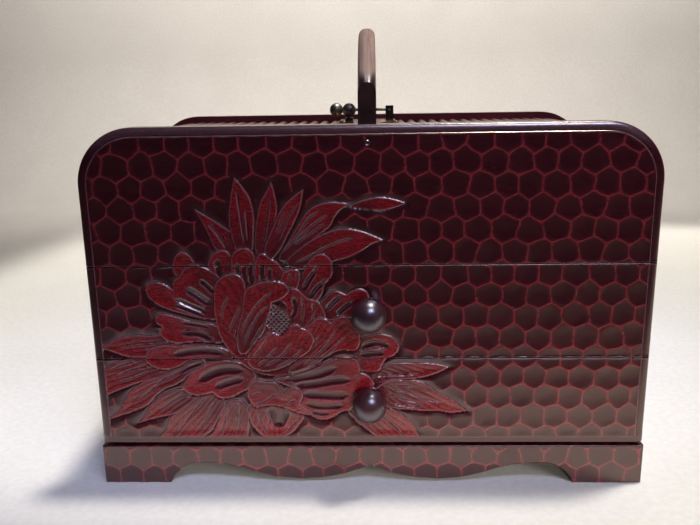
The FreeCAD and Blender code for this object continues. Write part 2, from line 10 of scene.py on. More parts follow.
import bpy
import numpy as np
from mathutils import Matrix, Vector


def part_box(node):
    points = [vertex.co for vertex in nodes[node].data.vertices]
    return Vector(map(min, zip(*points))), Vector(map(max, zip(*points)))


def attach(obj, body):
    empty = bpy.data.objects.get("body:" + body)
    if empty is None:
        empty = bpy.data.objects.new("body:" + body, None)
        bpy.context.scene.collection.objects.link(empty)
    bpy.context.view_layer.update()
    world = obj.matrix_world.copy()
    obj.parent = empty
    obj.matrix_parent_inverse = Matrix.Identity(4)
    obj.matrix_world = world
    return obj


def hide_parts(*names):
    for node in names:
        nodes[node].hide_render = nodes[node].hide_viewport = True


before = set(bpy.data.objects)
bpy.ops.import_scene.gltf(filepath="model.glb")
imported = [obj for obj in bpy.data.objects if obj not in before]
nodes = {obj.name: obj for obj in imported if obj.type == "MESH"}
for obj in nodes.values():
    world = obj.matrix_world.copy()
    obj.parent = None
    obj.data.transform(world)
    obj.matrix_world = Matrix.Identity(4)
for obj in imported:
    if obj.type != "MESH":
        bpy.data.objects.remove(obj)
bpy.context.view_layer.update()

# %% [markdown]
# ## Shared helpers
# Sizes in this file are millimetres, as on a maker's drawing, and become metres where a mesh is
# made. Lamps, the camera and shaders use Blender's metres. A mesh takes its vertices and faces as
# whole arrays. Edges that turn by more than an angle are kept sharp, so that a rounded arris shades
# smoothly and a square one stays crisp.

# %% Mesh helpers
MM = 0.001
SHARP_ANGLE = math.radians(40)


def box_mm(node):
    """Lowest and highest corner of a solid, in millimetres."""
    return tuple(np.array(corner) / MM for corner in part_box(node))


def make_piece(name, points, faces):
    """A mesh object at the origin from points in millimetres and a list of faces."""
    mesh = bpy.data.meshes.new(name)
    mesh.from_pydata(np.asarray(points) * MM, [], faces)
    mesh.polygons.foreach_set("use_smooth", np.ones(len(mesh.polygons), bool))
    mesh.set_sharp_from_angle(angle=SHARP_ANGLE)
    mesh.update()
    piece = bpy.data.objects.new(name, mesh)
    bpy.context.scene.collection.objects.link(piece)
    return piece


print("front panel in mm:", np.ptp(box_mm("front_panel"), axis=0).round(1))

# %% [markdown]
# ## The drawing of the peony
# A flower with pointed leaves is carved across three boards. It could be sculpted on each board,
# but the seams would not meet, so it is drawn once for the whole front. Each petal or leaf is a
# closed curve through a few points, in millimetres from the middle of the box and from the surface
# it stands on. A third value marks a sharp tip. Later shapes lie over earlier ones, as the carver
# would cut them. Scoops are the broad gouge cuts in a petal, each a width, a depth and a line, and
# veins are the thin ones, each only a line. Both belong to their petal and end at its edge.

# %% Leaves above the flower
TIP = 1
HEART = (-48, 93)


def shape(level, outline, scoops=(), veins=(), root=HEART):
    """One petal or leaf: how deep its face lies, its outline, its cuts, and where it grows from."""
    return {"level": level, "outline": outline, "scoops": scoops, "veins": veins, "root": root,
            "combed": 0.0}


UPPER_LEAVES = [
    shape(0.45, [(-90, 156.8, TIP), (-84, 153.2), (-78, 149.2), (-70, 143), (-67, 135), (-74, 130),
                 (-80.5, 136), (-83.2, 143), (-86.5, 150)],
          veins=[[(-83, 149), (-78, 142), (-74, 135)]]),
    shape(0.4, [(-68.2, 173, TIP), (-64, 167.5), (-60.7, 162), (-59, 153), (-59.5, 144), (-61, 134),
                (-68, 133), (-71.2, 142), (-72.3, 151), (-71.2, 160), (-69.7, 167)],
          veins=[[(-67.3, 166), (-66, 152), (-64.5, 138)], [(-63, 156), (-62.6, 140)]]),
    shape(0.5, [(-49.2, 170.5, TIP), (-52.3, 165), (-55.2, 160), (-57.2, 153), (-58.7, 145), (-59, 134),
                (-55, 131), (-51.5, 139), (-48.2, 149), (-46.8, 157), (-47.8, 164)],
          veins=[[(-50.5, 163), (-52, 152), (-54.5, 138)]]),
    shape(0.4, [(-32.8, 166.5, TIP), (-38, 162.8), (-43, 158.3), (-46.6, 153), (-49.3, 147), (-54, 136),
                (-52, 129), (-46.5, 134), (-42, 142), (-38, 149.5), (-34.8, 157)],
          veins=[[(-36, 160), (-41.5, 151), (-47, 139)], [(-43, 155), (-48, 143)]]),
    shape(0.35, [(-8.5, 158.3, TIP), (-14, 159.2), (-20, 159.4), (-26, 158.2), (-31, 155), (-35.5, 149),
                 (-40.5, 141), (-47, 130), (-40, 129), (-30, 138), (-24, 143.5), (-19.8, 146.8),
                 (-17.2, 151.5), (-14, 155.5)],
          veins=[[(-24, 155.5), (-31, 151), (-37, 142), (-45, 133)],
                 [(-20, 153.5), (-29, 147.5), (-39, 138)], [(-22, 149), (-31, 142.5), (-39, 137)]]),
    shape(0.3, [(19.8, 158.6, TIP), (14, 160.6), (8, 161.7), (2, 161.4), (-4, 160), (-11, 157.3, TIP),
                (-4, 155.9), (2, 155.2), (8, 155), (14, 156.4)]),
    shape(0.3, [(8, 139.3, TIP), (3, 141.6), (-3, 144), (-9, 145.4), (-14, 145.6), (-20, 144.3),
                (-27, 141.3), (-35, 136), (-43, 128), (-36, 124), (-24, 126), (-17.5, 128.4),
                (-10, 130.4), (-3, 134), (2, 137.4)],
          veins=[[(-7, 140.8), (-14, 139.2), (-22, 136), (-31, 131), (-39, 127.5)]]),
]
print(f"{len(UPPER_LEAVES)} leaves on the top board")

# %% Leaves beside and below the flower
LOWER_LEAVES = [
    shape(0.35, [(-146.3, 80.3, TIP), (-140, 84.4), (-133, 87.2), (-126, 88.2), (-119, 87.7),
                 (-112, 88.2), (-103, 86), (-100, 80), (-108, 76), (-118, 75.4), (-128, 75.2),
                 (-134, 76.3), (-140, 78.7)],
          veins=[[(-135.5, 80.2), (-127, 82), (-118, 82.6), (-107, 83.9)]]),
    shape(0.35, [(-147, 66.2, TIP), (-142, 70.9), (-136, 73.4), (-128, 74.5), (-120, 74), (-112, 70),
                 (-105, 66), (-112, 62.8), (-120, 61.3), (-127, 60.4), (-134, 57.8), (-141, 55),
                 (-147.3, 52.4, TIP), (-147, 59)],
          veins=[[(-140, 63.8), (-133, 66.9), (-126, 69), (-119, 69)],
                 [(-138, 61), (-130, 63.2), (-121, 67.2)], [(-142, 68), (-135, 71.2), (-127, 72.6)]]),
    shape(0.3, [(-147, 38, TIP), (-142, 41.6), (-138.6, 45), (-136, 50), (-131.5, 55.8), (-124, 61),
                (-115, 64), (-106, 68.4), (-98, 73), (-90, 74), (-90, 69), (-97, 66), (-102, 62),
                (-107, 59), (-113, 56.6), (-118, 52.6), (-123, 47.4), (-130, 43.9), (-138, 41)],
          scoops=[(2.6, 0.7, [(-104, 66), (-98, 69.5), (-91, 72)])],
          veins=[[(-129, 49.4), (-121, 55.4), (-113, 62.4), (-104, 67.4), (-96, 71.6)]]),
    shape(0.3, [(-129.5, 36.2, TIP), (-125.6, 40), (-122.6, 46), (-118.6, 50), (-113, 54), (-106, 56.6),
                (-99, 56), (-94, 53), (-92, 49), (-100, 45.5), (-106, 42), (-112, 40.8), (-119, 39.3)],
          veins=[[(-117, 43.6), (-110, 48.8), (-104, 52), (-97, 53)]]),
    shape(0.3, [(-118.5, 26.5, TIP), (-113.5, 33), (-111, 39.5), (-106, 42.6), (-100, 47), (-95.5, 49.7),
                (-91, 54), (-85, 55), (-80, 50), (-80, 45.5), (-84, 38.5), (-88, 32),
                (-95.5, 26.5, TIP)],
          veins=[[(-110, 27), (-103, 36), (-96.5, 44.5), (-89.5, 53)],
                 [(-94.5, 33.5), (-90, 40.5), (-86.5, 49)]]),
    shape(0.35, [(-95, 26.5, TIP), (-88, 30), (-84.5, 37), (-81, 44), (-78, 49), (-72, 50), (-68, 46.5),
                 (-66.8, 40), (-68, 26.5, TIP)],
          veins=[[(-84, 27.5), (-80.5, 37), (-78.5, 46)], [(-75.7, 27.5), (-73.6, 38), (-72.6, 49)]]),
    shape(0.4, [(-66, 46), (-66.8, 39), (-64, 33), (-57.5, 26.5, TIP), (-50, 26.5, TIP), (-44, 30),
                (-40, 34), (-36.5, 40), (-41, 44), (-50, 47), (-60, 48)],
          scoops=[(5, 1.0, [(-54.5, 46), (-52.6, 40.5), (-50.5, 34)]),
                  (5, 1.0, [(-45.8, 44), (-48, 39), (-50.5, 34)])],
          veins=[[(-62, 42), (-60, 35), (-56, 29)], [(-40.5, 38), (-44, 33), (-49, 28)],
                 [(-57, 44), (-55, 36)]]),
    shape(0.35, [(27.8, 26.5, TIP), (25, 33.5), (21.5, 38.4), (16, 42.2), (11, 45), (4, 48), (-5, 48),
                 (-12, 44), (-8.5, 38.5), (-4, 34), (0, 31), (5, 26.5, TIP)],
          veins=[[(4, 43), (8, 39), (13.5, 33.8), (19.5, 27.5)]]),
    shape(0.35, [(43, 68.8, TIP), (36, 70.6), (28, 71.4), (20, 71.2), (12, 71), (4, 67), (2, 60),
                 (10, 60), (17, 61.4), (22, 62), (29, 63), (36, 65.2)],
          veins=[[(3, 63.5), (12, 64.2), (20, 64.4), (27, 65)]]),
    shape(0.3, [(53.4, 43.2, TIP), (47.5, 48), (42, 51.8), (36.5, 54.4), (32, 58.4), (26, 61),
                (18, 61.4), (8, 60), (2, 54), (8, 46.5), (14, 44.6), (22, 44), (30, 43.2), (38, 43.3),
                (45, 42.1)],
          veins=[[(14.5, 58), (22, 57.8), (31, 55)], [(12.5, 56), (22, 53.4), (31, 50), (39.5, 47.6)],
                 [(10.5, 53.5), (20, 49.8), (30, 47)], [(12, 47.5), (20, 46), (29, 45.4)]]),
]
print(f"{len(LOWER_LEAVES)} leaves on the drawers")

# %% Outer petals
OUTER_PETALS = [
    shape(0.4, [(-103.4, 124), (-102, 131), (-98.5, 133.8), (-95, 132.8), (-92.3, 129.5), (-91, 122),
                (-99, 119)]),
    shape(0.35, [(-84.6, 126), (-82.6, 131.5), (-79, 134.1), (-75.4, 134.7), (-72.8, 132.8),
                 (-71.6, 129), (-72, 120), (-80, 119)],
          scoops=[(3, 0.8, [(-79.5, 130), (-79, 124), (-77, 119)])]),
    shape(0.3, [(-72.2, 128), (-70.6, 133.4), (-66.6, 135.7), (-62.4, 135), (-59.8, 131.8), (-59, 126),
                (-59, 114), (-71, 114)],
          scoops=[(2.2, 0.9, [(-69, 128), (-69, 122), (-68, 116)]),
                  (2.2, 0.9, [(-65.5, 127), (-65.6, 121), (-65, 115)]),
                  (2.2, 0.9, [(-62, 128), (-62.2, 121), (-62, 116)])]),
    shape(0.4, [(-59.6, 127), (-57.6, 132), (-54.5, 132.6), (-51, 129.8), (-47, 127), (-44, 121),
                (-46, 114), (-59, 114)],
          scoops=[(2.4, 0.9, [(-56, 127), (-56.2, 121), (-56, 116)]),
                  (2.4, 0.9, [(-52, 125), (-52.4, 120), (-52, 116)])]),
    shape(0.35, [(-33.5, 124), (-30, 129.8), (-26, 132.2), (-22.3, 131.7), (-19.4, 128.5), (-18.8, 123),
                 (-20.2, 119), (-23, 116), (-25, 110), (-30, 105), (-36, 108), (-37, 116)],
          scoops=[(2.8, 0.9, [(-28, 123), (-31.5, 118), (-34.5, 112)]),
                  (2.8, 0.9, [(-24, 116.5), (-28, 113), (-31, 108.5)])],
          veins=[[(-25.5, 127), (-30.5, 121), (-35, 114)], [(-22, 119.5), (-27, 115), (-31, 109.8)]]),
    shape(0.45, [(-46.4, 117), (-45.2, 121.8), (-42, 123.7), (-38.3, 124), (-36, 122), (-36.6, 117),
                 (-39, 111), (-44, 110)],
          veins=[[(-37.4, 122), (-39.5, 117.5)], [(-41.5, 122), (-42.5, 116)]]),
    shape(0.3, [(-119, 113.6), (-117.6, 116.3), (-113.5, 117.7), (-109, 116.6), (-104.3, 113.5, TIP),
                (-103.7, 117.8), (-100.2, 120.8), (-97.5, 124.6), (-93, 126.6), (-88, 126), (-83, 123.6),
                (-78.6, 119.5), (-78, 110), (-79, 98), (-88, 97), (-97, 99.3), (-103, 100.9),
                (-109.5, 103.4), (-114, 105.9), (-117.5, 109.4)],
          scoops=[(3.6, 1.1, [(-103, 108.2), (-97, 105), (-87, 100.6)]),
                  (4.6, 1.2, [(-97, 114), (-91, 110), (-84.5, 105)]),
                  (3, 1.0, [(-89.5, 118.8), (-85, 114.6), (-81.6, 110.5)]),
                  (2.2, 0.8, [(-104, 104.8), (-96, 101.6), (-89, 98.6)])],
          veins=[[(-105.2, 109.2), (-97, 104), (-87, 99.4)],
                 [(-97.8, 115), (-91, 110.2), (-85, 105.6)]]),
    shape(0.3, [(-115, 96.5), (-113.4, 99.4), (-110, 100), (-105, 98.7), (-99, 96.9), (-92, 95.2),
                (-84, 94), (-79, 90), (-79, 84), (-85, 83.5), (-92, 84), (-99, 83.6), (-104, 83.3),
                (-109, 84.4), (-112.2, 87.4), (-113.6, 90.4, TIP), (-111.2, 92.2), (-114, 94.4)],
          scoops=[(2.4, 0.9, [(-101, 95), (-94, 94), (-86, 92.4)]),
                  (3.8, 1.1, [(-101, 88.6), (-94, 88.8), (-84.5, 85.6)])],
          veins=[[(-102, 90), (-94, 90.6), (-88, 88.8), (-82.5, 84.6)]]),
    shape(0.25, [(-122, 74.8), (-120.4, 79.1), (-116, 81.5), (-110, 82.2), (-103, 81.7), (-95, 82),
                 (-88, 81.8), (-80, 80.5), (-74, 77), (-76, 73), (-86, 74), (-93, 74.4), (-99, 72.9),
                 (-103, 70.4), (-107.5, 68.6), (-112.5, 68.2), (-117.5, 69.4), (-121, 72)],
          scoops=[(4.4, 1.1, [(-106.5, 76.3), (-98, 78.2), (-88, 78.8), (-79, 77.5)])]),
    shape(0.3, [(-102.6, 57.5), (-100.6, 62.2), (-97, 66), (-91, 69.6), (-84, 72.6), (-75, 73),
                (-66, 70), (-62, 64), (-66, 57), (-70.5, 54.7), (-74, 52.4), (-79, 51), (-83.5, 51.9),
                (-86.5, 54.7, TIP), (-90, 53.6), (-95, 52.8), (-99.7, 54.1)],
          scoops=[(5.4, 1.3, [(-93.5, 61), (-87, 65.2), (-79, 67.6), (-69, 67.6)]),
                  (4.2, 1.1, [(-84.8, 57.2), (-78, 60), (-69, 62.6)])]),
    shape(0.3, [(-6.5, 80), (-4.5, 85), (0, 87), (5, 88), (10, 87.2), (14.2, 84.7), (16.1, 81),
                (15, 77.4), (12, 75), (9, 73.6), (7, 70.5), (5.2, 67), (-1, 66), (-8, 70)],
          scoops=[(3.6, 1.1, [(-4, 80.5), (3, 82.8), (10.5, 81)]),
                  (3.4, 1.0, [(-5, 76), (2, 76.6), (8, 77)])],
          veins=[[(-6, 78.5), (2, 79.8), (9.5, 79.2)]]),
    shape(0.3, [(-27, 104), (-23.4, 108), (-20.6, 111), (-17, 112), (-14, 110.8), (-12, 110.2, TIP),
                (-9.5, 111.8), (-6, 113.2), (-2.8, 112.7), (-0.2, 110.5), (0.5, 105), (-4, 100),
                (-10, 97), (-18, 96), (-26, 96)],
          scoops=[(2.8, 0.9, [(-15, 109), (-19, 105.6), (-23, 101.5)]),
                  (2.8, 0.9, [(-9, 105.4), (-13.5, 102.2), (-17.5, 98.8)])],
          veins=[[(-14.4, 110), (-18, 107), (-22.3, 102.3)],
                 [(-8.4, 106.6), (-13, 103.4), (-17.2, 99.4)]]),
]
print(f"{len(OUTER_PETALS)} outer petals")

# %% Bowl petals and stamens
BOWL_ROOT = (-48, 58)
BOWL_PETALS = [
    shape(0.3, [(-52, 62), (-42, 64.4), (-34, 66.6), (-27, 69.6), (-20, 73.4), (-14, 75), (-8, 74),
                (-5.4, 70), (-4.8, 65.9), (-1, 64.4), (1.6, 61.5), (2.2, 58), (-2, 52), (-9, 46),
                (-11.5, 43.4), (-15.5, 42.9), (-19.5, 40.1), (-25, 38.1), (-30.5, 39.3), (-34.7, 42.4),
                (-38, 47), (-38.5, 53), (-42, 57)],
          scoops=[(4.8, 1.3, [(-46, 62), (-36, 63.4), (-27, 65.2), (-18, 68.6)]),
                  (4.8, 1.3, [(-41, 58.2), (-30, 59.2), (-20, 61), (-10.5, 61.6)]),
                  (4.8, 1.2, [(-36.5, 53.2), (-26, 52.6), (-17, 52.2), (-12, 53)]),
                  (3.6, 1.0, [(-35, 47.6), (-28, 46), (-20, 46), (-15, 46.4)]),
                  (2.4, 0.8, [(-32, 43), (-27, 41.6), (-22, 42)])]),
    shape(0.25, [(-67, 52), (-66.2, 57.2), (-63, 61.4), (-57, 60.6), (-51.5, 60.2), (-49.2, 57.5),
                 (-47.4, 53.2, TIP), (-45, 56), (-41.5, 57.6), (-37.7, 56), (-36.6, 52), (-38.2, 48.2),
                 (-36, 44), (-32, 40.8), (-38, 41.8), (-44, 44.3), (-50, 46.4), (-57, 46.6),
                 (-63, 45.8)],
          veins=[[(-63, 47.6), (-57, 49.4), (-51.3, 53.8)], [(-49, 46), (-44.5, 47.6), (-41, 50.2)],
                 [(-64.5, 52.5), (-60, 54.5)], [(-41.5, 42.8), (-38, 44.5)]]),
    shape(0.2, [(-82.6, 111), (-81, 116.7), (-77.5, 120.3), (-73, 121.8), (-68.6, 121), (-65.8, 117.6),
                (-65, 112), (-62, 100), (-50, 90), (-30, 80), (-26, 72.4), (-33, 68.3), (-40, 65.8),
                (-47, 64.3), (-54, 64.3), (-61, 66.1), (-67, 69.6), (-72.5, 74.8), (-77.2, 81),
                (-80.6, 88), (-82.1, 96), (-82.6, 104)],
          veins=[[(-74.5, 110), (-78, 103), (-79.6, 95)], [(-68.5, 104), (-72, 97), (-76, 89)],
                 [(-64, 103), (-68, 95), (-71.5, 89), (-72.4, 84)],
                 [(-62, 93), (-66, 84), (-69.5, 77)]], root=BOWL_ROOT),
    shape(0.3, [(-43.4, 113), (-38.5, 113.4), (-34.8, 110.4), (-32, 108), (-28, 106.8), (-25, 103.6),
                (-23.2, 99), (-24, 93), (-32, 88), (-40, 90), (-45, 97), (-44, 104), (-47, 108)],
          scoops=[(2.6, 0.9, [(-40, 109), (-39, 103), (-41, 97)])],
          veins=[[(-35.5, 109), (-35, 102), (-36.5, 94)],
                 [(-30, 106), (-29.5, 100), (-31.5, 93)]], root=BOWL_ROOT),
    shape(0.2, [(-34, 90), (-31, 94.4), (-27, 97), (-23, 96.5), (-20.5, 94.3, TIP), (-17.5, 97),
                (-14, 98), (-10.8, 96.6), (-8.8, 93), (-7.2, 90.8), (-5.3, 88.5), (-4.7, 85), (-5.7, 81),
                (-8, 78.4), (-14, 78.8), (-19, 77.6), (-24, 74.4), (-30, 70.6), (-37, 67.4), (-44, 66),
                (-42, 71), (-35, 77), (-32, 83)],
          veins=[[(-27, 87.4), (-30, 82), (-36, 76), (-44, 69)],
                 [(-18.4, 90), (-21, 84.4), (-27, 77.4), (-36, 70)],
                 [(-12.6, 86.4), (-20, 79.4), (-29, 72.4), (-34, 69.6)]], root=BOWL_ROOT),
    shape(0.15, [(-46, 90.6), (-42, 93), (-38.4, 93.4), (-36, 91.5), (-33, 90.4), (-30.4, 87.6),
                 (-29.7, 84), (-32, 79), (-36, 75.6), (-42, 71.6), (-50, 68), (-58, 67), (-65, 70),
                 (-66, 76), (-62, 83), (-54, 88)],
          veins=[[(-55, 86), (-58, 81), (-63, 75)], [(-50, 80.6), (-56, 74), (-61, 70)],
                 [(-42, 83), (-48, 75.4), (-57, 69.6)],
                 [(-35.8, 80), (-42, 74), (-51, 68.8)]], root=BOWL_ROOT),
    shape(0.15, [(-65.6, 112.2), (-62, 115.2), (-56.5, 117.3), (-50, 117.8), (-44.8, 116.5), (-42, 113),
                 (-44, 109.8), (-48, 107.1), (-51.6, 105.8, TIP), (-52.6, 101), (-54.3, 96.4, TIP),
                 (-56.4, 90), (-61, 84), (-67, 77), (-71, 79), (-71, 90), (-68, 100)],
          veins=[[(-50.5, 112.4), (-58, 106.4), (-65, 97), (-69, 88)],
                 [(-53.4, 104.6), (-59, 99), (-65, 89), (-67.5, 82)],
                 [(-55.4, 95), (-60, 88.6), (-64.6, 80)]], root=BOWL_ROOT),
]
STAMENS = [(-51.2, 104.6), (-46.4, 101.4), (-42.4, 96.6), (-42.8, 92.4), (-47.5, 87.8), (-52, 89.6),
           (-54.2, 95), (-53, 100.6)]
for petal in LOWER_LEAVES + BOWL_PETALS[2:]:
    petal["combed"] = 1.0  # these carry fine lines that fan out from their root
MOTIF = UPPER_LEAVES + LOWER_LEAVES + OUTER_PETALS + BOWL_PETALS
print(f"{len(MOTIF)} carved shapes in all")

# %% [markdown]
# ## From drawing to height map
# A curve through the points gives each outline. The distance of every surface point from the
# outline, counted positive inside, then says how the carver's knife leaves the wood: a rounded
# rim, a face that dishes slightly, and a steep drop to what lies below. The same distance from a
# cut's centre line gives the round bottom of a gouge. A boolean for each stroke would be closer to
# the carver's way, but so many cuts can leave a broken mesh, and a height map stays one clean sheet.

# %% Curves
CURVE_STEPS = 6  # points to each span


def curve_run(run):
    """Catmull-Rom points from run[1] to run[-2], CURVE_STEPS to each span.

    For neighbours A to D: half of 2B + (C-A)t + (2A-5B+4C-D)t^2 + (3B-A-3C+D)t^3.
    """
    t = (np.arange(CURVE_STEPS) / CURVE_STEPS)[None, :, None]
    a, b, c, d = (run[k:len(run) - 3 + k, None, :] for k in range(4))
    bent = (2 * a - 5 * b + 4 * c - d) * t**2 + (3 * b - a - 3 * c + d) * t**3
    return (0.5 * (2 * b + (c - a) * t + bent)).reshape(-1, 2)


def open_curve(points):
    """A curve from first point to last, its ends carried straight on for the missing neighbours."""
    run = np.array([point[:2] for point in points], float)
    padded = np.vstack([2 * run[0] - run[1], run, 2 * run[-1] - run[-2]])
    return np.vstack([curve_run(padded), run[-1:]])


def closed_curve(points):
    """A closed curve through the points, broken at the sharp tips."""
    tips = [n for n, point in enumerate(points) if len(point) == 3]
    if not tips:
        ring = np.array(points, float)
        return curve_run(np.vstack([ring[-1:], ring, ring[:2]]))
    turned = points[tips[0]:] + points[:tips[0]]
    cuts = [n for n, point in enumerate(turned) if len(point) == 3] + [len(turned)]
    looped = turned + turned[:1]
    return np.vstack([open_curve(looped[a:b + 1])[:-1] for a, b in zip(cuts, cuts[1:])])


print(f"the first leaf's curve has {len(closed_curve(MOTIF[0]['outline']))} points")

# %% Distances
CHUNK = 20000  # points worked on at once, which keeps the arrays small
TINY = 1e-9
SMALL_GAP = 1e-6


def line_distance(points, line):
    """Distance from a polyline, the share of it passed at the nearest place, and the rise over it there.

    On each straight step the nearest place is a dot product over the step's squared length, kept in 0 to 1.
    """
    start, step = line[:-1], np.diff(line, axis=0)
    length = np.hypot(*step.T)
    passed = np.concatenate([[0], np.cumsum(length)[:-1]])
    best, share, rise = np.empty((3, len(points)))
    for first in range(0, len(points), CHUNK):
        part = slice(first, first + CHUNK)
        away = points[part, None] - start
        along = np.clip((away * step).sum(2) / np.maximum(length**2, TINY), 0, 1)
        offset = away - along[..., None] * step
        gap = (offset**2).sum(2)
        nearest = gap.argmin(1)
        rows = np.arange(len(nearest))
        best[part] = np.sqrt(gap[rows, nearest])
        share[part] = (passed[nearest] + along[rows, nearest] * length[nearest]) / length.sum()
        rise[part] = offset[rows, nearest, 1]
    return best, share, rise


def inside_distance(points, outline):
    """Distance from a closed outline, positive inside, where a ray to +x crosses it an odd number of times.

    The second answer is 1 under an upper edge and -1 over a lower one.
    """
    loop = np.vstack([outline, outline[:1]])
    gap, _, rise = line_distance(points, loop)
    (ax, az), (bx, bz) = loop[:-1].T, loop[1:].T
    x, z = points[:, :1], points[:, 1:]
    spans = (az > z) != (bz > z)
    crossing = ax + (z - az) * (bx - ax) / np.where(bz == az, TINY, bz - az)
    odd = (spans & (x < crossing)).sum(1) % 2 == 1
    return np.where(odd, gap, -gap), np.where(odd, -1, 1) * rise / np.maximum(gap, SMALL_GAP)


heart_depth = inside_distance(np.array([STAMENS]).mean(1), closed_curve(STAMENS))[0][0]
print(f"the middle of the stamens lies {heart_depth:.1f} mm inside their outline")

# %% [markdown]
# ## The scooped ground
# Round the flower the ground is covered with shallow round scoops. Where two scoops meet they
# leave a straight crest, and because the scoops stand in staggered rows the crests form irregular
# hexagons. So the ground is the deepest of many shallow bowls, one round each point of a slightly
# shaken lattice, and the crest is where the two nearest points are equally far away. A bump texture
# could draw the same net, but it would vanish in profile and wouldn't be in the exported mesh.

# %% Ground lattice
LATTICE_ROWS, LATTICE_COLUMNS = np.arange(18), np.arange(-16, 12)
LATTICE_X, LATTICE_TOP = 38, 191
SCOOP_ACROSS, SCOOP_UP = 12.85, 11.65
SHAKE, SHAKE_SEED = 1.6, 11
WOBBLE = 0.22


def scoop_centres():
    """Staggered rows of points, each moved a little by a seeded draw."""
    rows, columns = np.meshgrid(LATTICE_ROWS, LATTICE_COLUMNS, indexing="ij")
    x = LATTICE_X + SCOOP_ACROSS * (columns + 0.5 * (1 - rows % 2))
    z = LATTICE_TOP - SCOOP_UP * rows
    centres = np.stack([x, z], -1).reshape(-1, 2)
    return centres + np.random.default_rng(SHAKE_SEED).uniform(-SHAKE, SHAKE, centres.shape)


def hand_wobble(points):
    """Move points by two sine waves about a centimetre long, so that no crest is quite straight."""
    x, z = points.T
    sway = np.stack([np.sin(0.6 * z + 0.3 * x), np.sin(0.55 * x - 0.35 * z)], -1)
    return points + WOBBLE * sway


print(f"{len(scoop_centres())} scoops in the lattice")

# %% Scoops and crests
SCOOP_DEEP, SCOOP_RADIUS = 0.42, 6.95
SHALLOWEST = 0.04
CREST_WIDE, CREST_GLOW, CREST_JOIN = 0.38, 1.0, 0.5
GROUND_RED, CREST_RED, GLOW_RED = 0.06, 0.42, 0.2
# a faint painted highlight along the crests
CREST_PALE = 0.1


def bell(distance, width):
    """A soft line: exp(-(distance / width)^2)."""
    return np.exp(-((distance / width) ** 2))


def scooped_ground(points):
    """Depth, redness and painted highlight of the ground: bowls D (1 - d^2 / R^2), and red crests between
    them.

    The gap to a crest is the difference of the squared distances from two centres, over twice the
    distance between them. The nearest gap is scaled by second / (second + join), with the gap to the
    second nearest crest, so that crests widen where three scoops meet.
    """
    centres = scoop_centres()
    between = np.hypot(*(centres[:, None] - centres[None]).transpose(2, 0, 1)) + TINY
    depth, crest = np.empty((2, len(points)))
    shaken = hand_wobble(points)
    for first in range(0, len(points), CHUNK):
        part = slice(first, first + CHUNK)
        square = ((shaken[part, None] - centres) ** 2).sum(2)
        own = square.argmin(1)
        rows = np.arange(len(own))
        nearest = square[rows, own]
        gap = (square - nearest[:, None]) / (2 * between[own])
        gap[rows, own] = np.inf
        first_gap, second_gap = np.partition(gap, 1, axis=1)[:, :2].T
        crest[part] = first_gap * second_gap / (second_gap + CREST_JOIN)
        depth[part] = SCOOP_DEEP * (1 - nearest / SCOOP_RADIUS**2)
    line, glow = bell(crest, CREST_WIDE), bell(crest, CREST_GLOW)
    red = GROUND_RED + CREST_RED * line + GLOW_RED * glow
    return np.maximum(depth, SHALLOWEST), red, CREST_PALE * line


print(f"scoops {SCOOP_DEEP} mm deep, crests about {2 * CREST_WIDE:.1f} mm wide")

# %% [markdown]
# ## Petals over the ground
# Round the flower the carver has cleared a margin, and the petals rise from it. Each petal is laid
# over what is there: its rim is rounded, its face dishes, and fine comb lines fan out from where it
# grows. The red is brighter towards the tips, dark stays in the cuts, and the rims carry a painted
# highlight, pale colour in place of the light they catch. The red could be painted on by hand, but
# depth, redness and the painted highlight as three fields over the same points always agree.

# %% Cuts in a petal
TAPER_RATE, TAPER_LEAST = 7, 0.05
CUT_LIP = 0.3


def smooth_step(value):
    """0 below 0, 1 above 1, and 3 v^2 - 2 v^3 between them."""
    v = np.clip(value, 0, 1)
    return v * v * (3 - 2 * v)


def mix(first, second, share):
    """The first value where the share is 0, the second where it is 1."""
    return first + (second - first) * share


def groove(points, line, width):
    """A cut's bowl, 1 - (gap / half width)^2, its taper to both ends, and the lit lip below it."""
    gap, share, rise = line_distance(points, open_curve(line))
    taper = np.sqrt(np.clip(np.minimum(share, 1 - share) * TAPER_RATE, TAPER_LEAST, 1))
    half = width / 2 * taper
    bowl = np.clip(1 - (gap / half) ** 2, 0, 1)
    return bowl, taper, bell(gap - half, CUT_LIP) * (rise < 0) * taper


print(f"{sum(len(petal['scoops']) + len(petal['veins']) for petal in MOTIF)} cuts in the petals")

# %% Petal faces
RIM = 0.6
DISH_DEEP, DISH_WIDE = 0.25, 4.5
PETAL_RED, ROOT_RED, RED_START, RED_GAIN = 0.62, 0.45, 0.12, 1.2
COMB_PITCH, COMB_SWAY, COMB_WAVE, COMB_POWER, COMB_FADE = 2.7, 0.12, 0.3, 8, 0.5
COMB_DEEP, COMB_DARK, COMB_START, COMB_SOFT = 0.16, 0.5, 0.8, 1.2
RIM_PALE, UPPER_PALE, RIM_LINE, RIM_SOFT, CUT_PALE = 0.42, 0.33, 0.3, 0.32, 0.55
SCOOP_WIDEN, SCOOP_EASE, SCOOP_DARK, SCOOP_SOFT = 1.2, 0.6, 0.85, 1.3
VEIN_WIDE, VEIN_DEEP, VEIN_DARK, VEIN_SOFT = 1.1, 0.45, 0.75, 1.2


def petal_growth(points, petal):
    """How far points lie from root (0) to tip (1), and comb lines fanning out from the root.

    A line is cos(pi turn)^8, where turn counts pitches round the root, and fades towards the tip.
    """
    away = points - petal["root"]
    reach = np.hypot(*away.T)
    ends = np.hypot(*(closed_curve(petal["outline"]) - petal["root"]).T)
    outward = (reach - ends.min()) / (ends.max() - ends.min())
    turn = np.arctan2(*away.T) * ends.mean() / COMB_PITCH + COMB_SWAY * np.sin(COMB_WAVE * reach)
    comb = petal["combed"] * np.cos(math.pi * turn) ** COMB_POWER
    return outward, comb * (1 - COMB_FADE * np.clip(outward, 0, 1))


